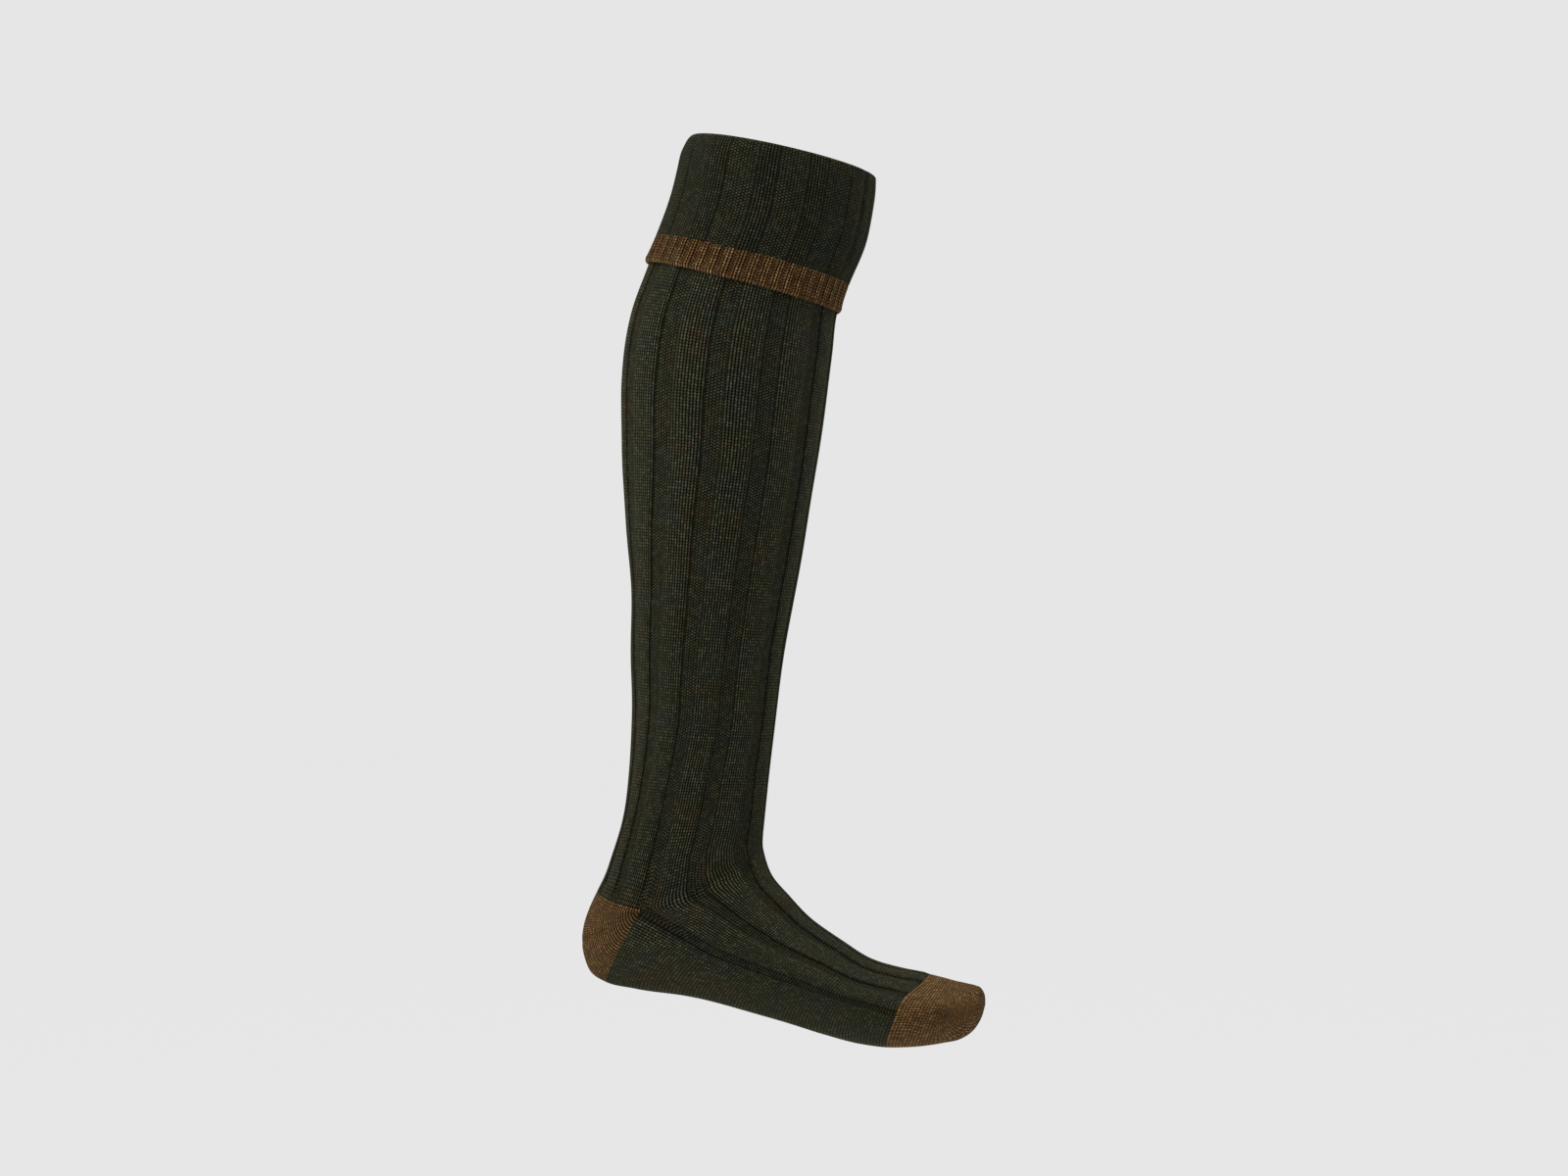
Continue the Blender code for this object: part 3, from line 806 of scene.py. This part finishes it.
def make_cuff(settings):
    """The turned-down layer, over a soft fold and down inside to the leg's edge."""
    wales = column_wales()
    low = leg_place(CUFF_HEIGHT)
    lift = JOIN_GAP + CLOTH
    places, lengths = even_places("leg", 0, low, settings.course)
    angles = rib_angles("leg", places, wales)
    points, normals, down = cloth("leg", places[:, None], angles)
    ease_in = fold_ease(lengths, angles)
    firm = SOFT_RELIEF + (1 - SOFT_RELIEF) * smooth(lengths / SOFT_TOP)[:, None]
    crease = np.exp(-((np.minimum(wales, WALES - wales) - CREASE_WALE) / CREASE_WIDTH) ** 2)
    relief = (reverse_relief(wales, settings) - settings.crease * crease) * firm
    relief = relief + swell(points, settings)
    near_edge = smooth(1 - (lengths[-1] - lengths) / TUCK_HEIGHT)[:, None]
    height = lift + relief - front_tuck(angles, settings) * near_edge
    outer = raised(points, normals, np.maximum(height, JOIN_GAP * 2) - ease_in)
    base, out, up = points[0], normals[0], -down[0]
    steps = np.linspace(0, 1, FOLD_STEPS)[1:-1]
    fold = fold_rings(base, out, up, lift, relief[0], ease_in[0], angles[0], steps)
    inside_lip = raised(base, out, -CLOTH * LIP_SHARE - ease_in[0]) + up * JOIN_GAP
    under = raised(base, out, JOIN_GAP - ease_in[0]) + up * JOIN_GAP
    back, back_lengths = hidden_rings("leg", 0, low, wales, JOIN_GAP * BACK_GAP_SHARE, drawn_in=1)
    # The crease lowers the purl mask, so that the edge shade paints a dark line along it
    purl = (1 - channel(wales)) * (1 - CREASE_PAINTED_SHADE * crease)
    front_courses = [-steps[::-1] * FOLD_COURSES, lengths / settings.course]
    back_courses = [back_lengths[:-1] / settings.course, [0.0, -FOLD_COURSES]]
    return knitted_mesh("reverse_rib_cuff", [
        face(np.concatenate([fold[::-1], outer]), wales, np.concatenate(front_courses), purl),
        face(np.concatenate([back[:-1], [under, inside_lip]]), wales,
             np.concatenate(back_courses), purl)], rolled=True)


def make_trim(settings):
    """The contrast band: narrow ribs, thicker towards its rolled lower rim."""
    ridges = column_wales(TRIM_RIDGES, TRIM_COLUMNS)
    top = leg_place(CUFF_HEIGHT)
    low = leg_place(CUFF_HEIGHT + TRIM_HEIGHT)
    places, lengths = even_places("leg", top, low, settings.course * TRIM_ROW_COURSES)
    angles = rib_angles("leg", places, ridges, TRIM_RIDGES)
    points, normals, down = cloth("leg", places[:, None], angles)
    ridge = np.abs(np.cos(ridges * tau / 2)) ** TRIM_RIDGE_SHARPNESS
    shares, outs, grooves = zip(*TRIM_PROFILE)
    thickness, depth = (
        np.interp(lengths / lengths[-1], shares, values)[:, None] for values in (outs, grooves))
    tuck = front_tuck(angles, settings)
    height = JOIN_GAP + TRIM_CLOTH * thickness - settings.trim_relief * (1 - ridge) * depth
    outer = raised(points, normals, np.maximum(height - tuck, JOIN_GAP * 2))
    rim = []
    for out, fall in TRIM_RIM:
        edge = np.maximum(JOIN_GAP + TRIM_CLOTH * out - tuck[-1], JOIN_GAP * RIM_GAP_SHARE)
        rim.append(raised(points[-1], normals[-1], edge) + down[-1] * (TRIM_CLOTH * fall))
    back, back_lengths = hidden_rings("leg", top, low, ridges, JOIN_GAP, TRIM_RIDGES)
    rings = np.concatenate([outer, rim, back])
    down_to = np.concatenate([lengths, np.full(len(rim), lengths[-1]), back_lengths])
    wales = TRIM_WALES * ridges + TRIM_WALE_START
    # The grooves' purl mask also gets the trim's painted shade
    purl = smooth((1 - ridge) * TRIM_PURL_SLOPE - TRIM_PURL_START)
    return knitted_mesh("narrow_rib_trim", [face(rings, wales, down_to / settings.course, purl)])


YARN_COLOURS = ("Base", "Light", "Warm", "Cool", "Dark")

# Noise in the yarn: its scale, detail and roughness, and how far it is moved off the others
NoiseRow = namedtuple("NoiseRow", "scale detail roughness shift")
DRIFT_NOISE = NoiseRow(0.31, 2.0, 0.6, 0.0)
WARM_NOISE = NoiseRow(38.0, 3.0, 0.65, 0.0)
COOL_NOISE = NoiseRow(52.0, 3.0, 0.65, 3.7)
MOTTLE_NOISE = NoiseRow(210.0, 3.0, 0.6, 8.1)
FIBRE_NOISE = NoiseRow(2600.0, 2.0, 0.6, 0.0)
MOTTLE_SHARE = 0.5
DRIFT_SHARE = 0.5

# Where each layer of colour starts and is full, by its noise
LayerRow = namedtuple("LayerRow", "label low high")
PATCH_LAYERS = (LayerRow("Warm", 0.72, 0.95), LayerRow("Cool", 0.22, 0.45))
FLECK_LAYERS = (LayerRow("Light", 0.50, 0.80), LayerRow("Dark", 0.50, 0.22))

# What is left of a stitch's height between its rows, on knit and at the quiet parts of purl
KNIT_DIP = 0.2
PURL_DIP = 0.65

# Heights where the painted shade between stitches is full and gone: what purl adds, and the knit's
# value
SHADE_FULL = (0.15, 0.4)
SHADE_NONE = (0.02, 0.96)

# Values of the purl mask between which the wall of a channel, painted in shade, rises and falls
WALL_RISE = (0.05, 0.4)
WALL_FALL = (0.95, 0.6)
FIBRE_RELIEF = 0.35

WOOL_FINISH = {
    "Roughness": 0.95, "Specular IOR Level": 0.04, "Sheen Weight": 0.05, "Sheen Roughness": 0.5,
    "Sheen Tint": (0.72, 0.68, 0.42, 1.0),
}


def new_group(name, inputs, outputs):
    """An empty shader node group with named inputs and outputs."""
    tree = bpy.data.node_groups.new(name, "ShaderNodeTree")
    for label, kind, value in inputs:
        socket = tree.interface.new_socket(label, in_out="INPUT", socket_type=kind)
        if value is not None:
            socket.default_value = value
    for label, kind in outputs:
        tree.interface.new_socket(label, in_out="OUTPUT", socket_type=kind)
    return tree, tree.nodes.new("NodeGroupInput").outputs, tree.nodes.new("NodeGroupOutput")


def feed(tree, node, values):
    """Links inputs of a node to outputs, or sets them to plain values."""
    for label, value in values.items():
        if isinstance(value, bpy.types.NodeSocket):
            tree.links.new(value, node.inputs[label])
        else:
            node.inputs[label].default_value = value


def add_node(tree, kind, values, **traits):
    """A node with these traits and inputs."""
    node = tree.nodes.new(kind)
    for trait, value in traits.items():
        setattr(node, trait, value)
    feed(tree, node, values)
    return node


def maths(tree, operation, *values):
    values = dict(enumerate(values))
    return add_node(tree, "ShaderNodeMath", values, operation=operation).outputs[0]


def blend(tree, share, first, second, kind="MIX"):
    """A colour between two colours."""
    values = {"Factor": share, 6: first, 7: second}
    node = add_node(tree, "ShaderNodeMix", values, data_type="RGBA", blend_type=kind)
    return node.outputs[2]


def between(tree, share, first, second):
    """A number between two numbers."""
    rise = maths(tree, "SUBTRACT", second, first)
    return maths(tree, "MULTIPLY_ADD", rise, share, first)


def ease(tree, value, low, high):
    """A soft step from 0 to 1 as a number goes from low to high."""
    values = {"Value": value, "From Min": low, "From Max": high}
    node = add_node(tree, "ShaderNodeMapRange", values, interpolation_type="SMOOTHSTEP")
    return node.outputs["Result"]


def hump(tree, part):
    """A rounded rise from nothing at 0 to one at a half and back."""
    low = maths(tree, "MULTIPLY", part, 4.0)
    return maths(tree, "SQRT", maths(tree, "MULTIPLY", low, maths(tree, "SUBTRACT", 1.0, part)))


def noise(tree, place, row):
    if row.shift:
        values = {0: place, 1: (row.shift,) * 3}
        place = add_node(tree, "ShaderNodeVectorMath", values, operation="ADD").outputs[0]
    values = {"Vector": place, "Scale": row.scale, "Detail": row.detail,
              "Roughness": row.roughness}
    return add_node(tree, "ShaderNodeTexNoise", values).outputs["Fac"]


def stitch_group():
    """Knit V stitches, and purl bumps where Purl is one, with painted shade between them."""
    tree, given, result = new_group(
        "Wool Stitches",
        [("Wale", "NodeSocketFloat", 0.0), ("Course", "NodeSocketFloat", 0.0),
         ("Purl", "NodeSocketFloat", 0.0), ("Slant", "NodeSocketFloat", 0.55),
         ("Zigzag", "NodeSocketFloat", 0.3), ("Channel Shade", "NodeSocketFloat", 0.3),
         ("Edge Shade", "NodeSocketFloat", 0.6)],
        [("Height", "NodeSocketFloat"), ("Painted Shade", "NodeSocketFloat"),
         ("Strand", "NodeSocketVector")],
    )
    wale, course, purl = given["Wale"], given["Course"], given["Purl"]
    part = maths(tree, "FRACT", wale)
    aside = maths(tree, "ABSOLUTE", maths(tree, "SUBTRACT", part, 0.5))
    aside = maths(tree, "MULTIPLY", aside, 2.0)
    rise = maths(tree, "MULTIPLY_ADD", aside, given["Slant"], course)
    off_leg = maths(tree, "MULTIPLY_ADD", aside, 2.0, -1.0)
    across = maths(tree, "SUBTRACT", 1.0, maths(tree, "MULTIPLY", off_leg, off_leg))
    knit = hump(tree, maths(tree, "FRACT", rise))
    knit = maths(tree, "MULTIPLY_ADD", knit, 1 - KNIT_DIP, KNIT_DIP)
    knit = maths(tree, "MULTIPLY", across, knit)
    wave = maths(tree, "COSINE", maths(tree, "MULTIPLY", part, tau))
    row = maths(tree, "FRACT", maths(tree, "MULTIPLY_ADD", wave, given["Zigzag"], course))
    bumps = maths(tree, "MULTIPLY_ADD", maths(tree, "ABSOLUTE", wave), 1 - PURL_DIP, PURL_DIP)
    bumps = maths(tree, "MULTIPLY", hump(tree, row), bumps)
    height = between(tree, purl, knit, bumps)
    # Painted shade: the colour darkens in the hollows between stitches, in purl channels and on
    # their walls
    low, high = (
        maths(tree, "MULTIPLY_ADD", purl, *limit) for limit in (SHADE_FULL, SHADE_NONE))
    painted_shade = maths(tree, "SUBTRACT", 1.0, ease(tree, height, low, high))
    wall = maths(tree, "MULTIPLY", ease(tree, purl, *WALL_RISE), ease(tree, purl, *WALL_FALL))
    for share, label in ((purl, "Channel Shade"), (wall, "Edge Shade")):
        painted_shade = between(tree, maths(tree, "MULTIPLY", share, given[label]), painted_shade, 1.0)
    leg_number = maths(tree, "FLOOR", maths(tree, "MULTIPLY", wale, 2.0))
    numbers = {"X": leg_number, "Y": maths(tree, "FLOOR", rise)}
    strand = add_node(tree, "ShaderNodeCombineXYZ", numbers).outputs[0]
    feed(tree, result, {"Height": height, "Painted Shade": painted_shade, "Strand": strand})


def marl_group():
    """Heather yarn: a base colour with light and dark flecks and soft warm and cool patches."""
    tree, given, result = new_group(
        "Marled Yarn",
        [(label, "NodeSocketColor", None) for label in YARN_COLOURS]
        + [("Strand", "NodeSocketVector", None), ("Painted Shade", "NodeSocketFloat", 0.0),
           ("Flecks", "NodeSocketFloat", 0.5), ("Patches", "NodeSocketFloat", 0.5),
           ("Depth", "NodeSocketFloat", 0.6)],
        [("Color", "NodeSocketColor"), ("Fibre", "NodeSocketFloat")],
    )
    place = tree.nodes.new("ShaderNodeTexCoord").outputs["Object"]
    strand = {"Vector": given["Strand"]}
    speck = add_node(tree, "ShaderNodeTexWhiteNoise", strand, noise_dimensions="2D")
    drift = maths(tree, "MULTIPLY", noise(tree, given["Strand"], DRIFT_NOISE), DRIFT_SHARE)
    yarn = maths(tree, "MULTIPLY_ADD", speck.outputs["Value"], 1 - DRIFT_SHARE, drift)
    mottle = noise(tree, place, MOTTLE_NOISE)
    warm, cool = (
        maths(tree, "MULTIPLY_ADD", mottle, share, noise(tree, place, row))
        for share, row in ((MOTTLE_SHARE, WARM_NOISE), (-MOTTLE_SHARE, COOL_NOISE)))
    colour = given["Base"]
    for (label, low, high), value, strength in zip(
            PATCH_LAYERS + FLECK_LAYERS, (warm, cool, yarn, yarn),
            ("Patches", "Patches", "Flecks", "Flecks")):
        share = maths(tree, "MULTIPLY", ease(tree, value, low, high), given[strength])
        colour = blend(tree, share, colour, given[label])
    # Painted shade: the colour is darkened by the stitches' painted shade, as much as Depth says
    depth = maths(tree, "MULTIPLY", given["Depth"], -1.0)
    shade = maths(tree, "MULTIPLY_ADD", given["Painted Shade"], depth, 1.0)
    grey = add_node(tree, "ShaderNodeCombineColor", {0: shade, 1: shade, 2: shade}).outputs[0]
    feed(tree, result, {"Color": blend(tree, 1.0, colour, grey, "MULTIPLY"),
                        "Fibre": noise(tree, place, FIBRE_NOISE)})


def new_material(name, finish):
    """A material with its finish set, its node tree and its shader."""
    material = bpy.data.materials.new(name)
    material.use_nodes = True
    tree = material.node_tree
    shader = tree.nodes["Principled BSDF"]
    feed(tree, shader, finish)
    return material, tree, shader


def wool_material(name, settings, yarn, look):
    """A knitted wool finish that reads the mesh's stitch numbers."""
    material, tree, shader = new_material(name, WOOL_FINISH)
    numbers = add_node(tree, "ShaderNodeUVMap", {}, uv_map="stitches")
    split = add_node(tree, "ShaderNodeSeparateXYZ", {0: numbers.outputs["UV"]})
    mask = add_node(tree, "ShaderNodeAttribute", {}, attribute_name="purl")
    values = {
        "Wale": split.outputs["X"], "Course": split.outputs["Y"], "Purl": mask.outputs["Fac"],
        "Zigzag": look.zigzag, "Channel Shade": look.channel_shade, "Edge Shade": look.edge_shade,
    }
    group = bpy.data.node_groups["Wool Stitches"]
    stitches = add_node(tree, "ShaderNodeGroup", values, node_tree=group)
    colours = {
        label: (*(Vector(getattr(settings, yarn + "_" + label.lower())) * look.tone), 1.0)
        for label in YARN_COLOURS}
    # The yarn's colour takes the stitches' painted shade, as strong as the stitch shade setting
    values = colours | {
        "Flecks": settings.flecks, "Patches": settings.patches, "Depth": settings.stitch_shade,
        "Painted Shade": stitches.outputs["Painted Shade"], "Strand": stitches.outputs["Strand"],
    }
    group = bpy.data.node_groups["Marled Yarn"]
    marl = add_node(tree, "ShaderNodeGroup", values, node_tree=group)
    height = maths(
        tree, "MULTIPLY_ADD", marl.outputs["Fibre"], FIBRE_RELIEF, stitches.outputs["Height"])
    values = {"Distance": settings.stitch_relief, "Height": height}
    bump = add_node(tree, "ShaderNodeBump", values)
    feed(tree, shader, {"Base Color": marl.outputs["Color"], "Normal": bump.outputs["Normal"]})
    return material


def length_setting(name, description, size):
    return FloatProperty(name=name, description=description, default=size, unit="LENGTH")


def share_setting(name, description, share):
    return FloatProperty(
        name=name, description=description, default=share, subtype="FACTOR", min=0.0, max=1.0)


def colour_setting(name, description, colour):
    return FloatVectorProperty(
        name=name, description=description, default=colour, subtype="COLOR", min=0.0, max=1.0)


class SockSettings(bpy.types.PropertyGroup):
    """Sizes of the knit that a user would change."""
    course: length_setting("Course", "Height of one knitted course", COURSE)
    rib_relief: length_setting("Rib depth", "Depth of the purl channels", 0.0018)
    wale_relief: length_setting("Wale depth", "Depth of the groove between wales", 0.00028)
    crown: length_setting("Panel crown", "How far a knit panel falls towards its edges", 0.0004)
    cord_relief: length_setting("Cuff cords", "Height of the cords on the turned-down side", 0.0005)
    trim_relief: length_setting("Trim ribs", "Depth of the grooves in the trim", 0.0016)
    gore_relief: length_setting("Gore depth", "Depth of the line where the heel turns", 0.0002)
    swell: length_setting("Unevenness", "Height of soft swells in the cloth", 0.0003)
    trim_tuck: length_setting(
        "Trim tuck", "How far the cuff and trim lie flatter at the front", 0.0012)
    crease: length_setting("Cuff crease", "Depth of the crease near the cuff's front", 0.0012)
    toe_drop: length_setting("Toe drop", "How far the toe's top lies below the foot's", 0.0018)
    heel_wales: IntProperty(name="Heel wales", description="Wales across the heel", default=40)
    toe_wales: IntProperty(name="Toe wales", description="Wales round the toe", default=72)
    stitch_relief: length_setting("Stitch depth", "Depth between stitches, as bump", 0.0009)
    # Painted shade: how far the yarn's colour is darkened between stitches
    stitch_shade: share_setting(
        "Stitch shade", "How much darker the yarn looks between stitches", 0.98)
    flecks: share_setting("Flecks", "Strength of the light and dark flecks", 0.42)
    patches: share_setting("Patches", "Strength of the warm and cool patches", 0.8)
    olive_base: colour_setting("Olive", "Main yarn", (0.0335, 0.0360, 0.0190))
    olive_light: colour_setting(
        "Olive light", "Light flecks of the main yarn", (0.095, 0.100, 0.058))
    olive_warm: colour_setting(
        "Olive warm", "Brown patches of the main yarn", (0.048, 0.032, 0.016))
    olive_cool: colour_setting(
        "Olive cool", "Blue-grey patches of the main yarn", (0.027, 0.034, 0.028))
    olive_dark: colour_setting("Olive dark", "Dark flecks of the main yarn", (0.012, 0.012, 0.008))
    tan_base: colour_setting("Tan", "Contrast yarn", (0.138, 0.071, 0.026))
    tan_light: colour_setting(
        "Tan light", "Light flecks of the contrast yarn", (0.330, 0.194, 0.085))
    tan_warm: colour_setting(
        "Tan warm", "Reddish patches of the contrast yarn", (0.110, 0.046, 0.014))
    tan_cool: colour_setting(
        "Tan cool", "Ochre patches of the contrast yarn", (0.125, 0.078, 0.028))
    tan_dark: colour_setting("Tan dark", "Dark flecks of the contrast yarn", (0.040, 0.020, 0.009))


# How each kind of knit looks: brightness, waves of its purl rows, painted shade in and beside
# channels
Look = namedtuple("Look", "tone zigzag channel_shade edge_shade")
LEG_LOOK = Look(1.69, 0.30, 0.30, 0.2)
FOOT_LOOK = Look(1.82, 0.08, 0.45, 0.6)
CUFF_LOOK = Look(1.09, 0.32, 0.0, 0.18)
TRIM_LOOK = Look(1.62, 0.10, 0.55, 0.3)
HEEL_LOOK = Look(1.70, 0.0, 0.0, 0.0)
TOE_LOOK = Look(2.1, 0.0, 0.0, 0.0)


def dress(context, name, make, node, slot, yarn, look):
    """Knits a piece in its yarn."""
    settings = context.scene.wool_sock
    material = wool_material(slot.replace("_", " "), settings, yarn, look)
    add_piece(name, make(settings), node, material)


class SOCK_OT_yarn(bpy.types.Operator):
    """Makes the stitch and yarn groups that every piece uses"""
    bl_idname = "sock.yarn"
    bl_label = "Spin yarn"

    def execute(self, context):
        stitch_group()
        marl_group()
        return {"FINISHED"}


class SOCK_OT_leg(bpy.types.Operator):
    """Knits the ribbed leg"""
    bl_idname = "sock.leg"
    bl_label = "Knit leg"

    def execute(self, context):
        dress(context, "ribbed_leg", make_leg, "leg", "leg_wool", "olive", LEG_LOOK)
        return {"FINISHED"}


class SOCK_OT_cuff(bpy.types.Operator):
    """Knits the turned-down cuff"""
    bl_idname = "sock.cuff"
    bl_label = "Knit cuff"

    def execute(self, context):
        dress(context, "reverse_rib_cuff", make_cuff, "turnover_cuff", "cuff_wool", "olive",
              CUFF_LOOK)
        return {"FINISHED"}


class SOCK_OT_trim(bpy.types.Operator):
    """Knits the contrast trim"""
    bl_idname = "sock.trim"
    bl_label = "Knit trim"

    def execute(self, context):
        dress(context, "narrow_rib_trim", make_trim, "cuff_trim", "trim_wool", "tan", TRIM_LOOK)
        return {"FINISHED"}


class SOCK_OT_heel(bpy.types.Operator):
    """Knits the heel"""
    bl_idname = "sock.heel"
    bl_label = "Knit heel"

    def execute(self, context):
        dress(context, "plain_heel", make_heel, "heel", "heel_wool", "tan", HEEL_LOOK)
        return {"FINISHED"}


class SOCK_OT_foot(bpy.types.Operator):
    """Knits the foot"""
    bl_idname = "sock.foot"
    bl_label = "Knit foot"

    def execute(self, context):
        dress(context, "ribbed_foot", make_foot, "foot", "foot_wool", "olive", FOOT_LOOK)
        return {"FINISHED"}


class SOCK_OT_toe(bpy.types.Operator):
    """Knits the toe"""
    bl_idname = "sock.toe"
    bl_label = "Knit toe"

    def execute(self, context):
        dress(context, "plain_toe", make_toe, "toe", "toe_wool", "tan", TOE_LOOK)
        return {"FINISHED"}


# The studio: the camera looks almost square at the sock's side
CAMERA_TURN = radians(8.0)
CAMERA_DISTANCE = 1.5
CAMERA_TARGET = Vector((0.0027, 0.0, -0.2556))
CAMERA_LENS = 58.2
SENSOR_WIDTH = 36.0

# The floor glows and hardly takes light, so that it looks as even as the background
FLOOR_DROP = 0.20
FLOOR_SIZE = 12.0
FLOOR_FINISH = {
    "Base Color": (0.02, 0.02, 0.02, 1.0), "Roughness": 1.0, "Specular IOR Level": 0.0,
    "Emission Color": (1.0, 1.0, 1.0, 1.0), "Emission Strength": 0.778,
}
BACKGROUND = (0.79, 0.79, 0.79, 1.0)
SOFT_LIGHT = 0.6
LightRow = namedtuple("LightRow", "name place power")
LIGHTS = (LightRow("key", (-1.3, -1.6, 0.9), 34), LightRow("top", (0.6, 0.3, 1.4), 20))
LIGHT_SIZE = 1.0


def add_light(row):
    """A square light that faces the sock."""
    light = bpy.data.lights.new(row.name, "AREA")
    light.shape = "SQUARE"
    light.size = LIGHT_SIZE
    light.energy = row.power
    lamp = bpy.data.objects.new(row.name, light)
    bpy.context.scene.collection.objects.link(lamp)
    lamp.location = row.place
    lamp.rotation_euler = (CAMERA_TARGET - Vector(row.place)).to_track_quat("-Z", "Y").to_euler()


def studio_world():
    """A plain background, which lights the sock less than it shows."""
    world = bpy.data.worlds.new("studio")
    world.use_nodes = True
    tree = world.node_tree
    seen = tree.nodes.new("ShaderNodeLightPath").outputs["Is Camera Ray"]
    values = {"Color": BACKGROUND, "Strength": between(tree, seen, SOFT_LIGHT, 1.0)}
    sky = add_node(tree, "ShaderNodeBackground", values)
    feed(tree, tree.nodes["World Output"], {0: sky.outputs[0]})
    return world


def add_camera():
    """The photo's camera."""
    camera = bpy.data.cameras.new("camera")
    camera.lens = CAMERA_LENS
    camera.sensor_width = SENSOR_WIDTH
    eye = bpy.data.objects.new("camera", camera)
    bpy.context.scene.collection.objects.link(eye)
    way = Vector((-sin(CAMERA_TURN), cos(CAMERA_TURN), 0.0))
    eye.location = CAMERA_TARGET - way * CAMERA_DISTANCE
    eye.rotation_euler = way.to_track_quat("-Z", "Y").to_euler()
    return eye


class SOCK_OT_stage(bpy.types.Operator):
    """Sets the floor, the lights and the camera"""
    bl_idname = "sock.stage"
    bl_label = "Set stage"

    def execute(self, context):
        scene = context.scene
        level = CAD_BOX[0][2] - FLOOR_DROP
        bpy.ops.mesh.primitive_plane_add(size=FLOOR_SIZE, location=(0, 0, level))
        floor = context.object
        floor.name = "studio_floor"
        floor.data.materials.append(new_material("studio floor", FLOOR_FINISH)[0])
        scene.world = studio_world()
        for row in LIGHTS:
            add_light(row)
        scene.view_settings.view_transform = "Standard"
        scene.camera = add_camera()
        return {"FINISHED"}


class SOCK_PT_panel(bpy.types.Panel):
    """Lists the steps and sizes of the sock"""
    bl_idname = "SOCK_PT_panel"
    bl_label = "Wool Sock"
    bl_space_type = "VIEW_3D"
    bl_region_type = "UI"
    bl_category = "Sock"

    def draw(self, context):
        settings = context.scene.wool_sock
        for label in SockSettings.__annotations__:
            self.layout.prop(settings, label)
        for step in STEPS:
            self.layout.operator(step.bl_idname)


STEPS = (SOCK_OT_stage, SOCK_OT_yarn, SOCK_OT_leg, SOCK_OT_cuff, SOCK_OT_trim, SOCK_OT_heel,
         SOCK_OT_foot, SOCK_OT_toe)
CLASSES = (SockSettings,) + STEPS + (SOCK_PT_panel,)


def register():
    for item in CLASSES:
        bpy.utils.register_class(item)
    bpy.types.Scene.wool_sock = PointerProperty(type=SockSettings)


def unregister():
    del bpy.types.Scene.wool_sock
    for item in reversed(CLASSES):
        bpy.utils.unregister_class(item)


def main():
    register()
    bpy.ops.sock.stage()
    bpy.ops.sock.yarn()
    bpy.ops.sock.leg()
    bpy.ops.sock.cuff()
    bpy.ops.sock.trim()
    bpy.ops.sock.heel()
    bpy.ops.sock.foot()
    bpy.ops.sock.toe()


if __name__ == "__main__":
    main()
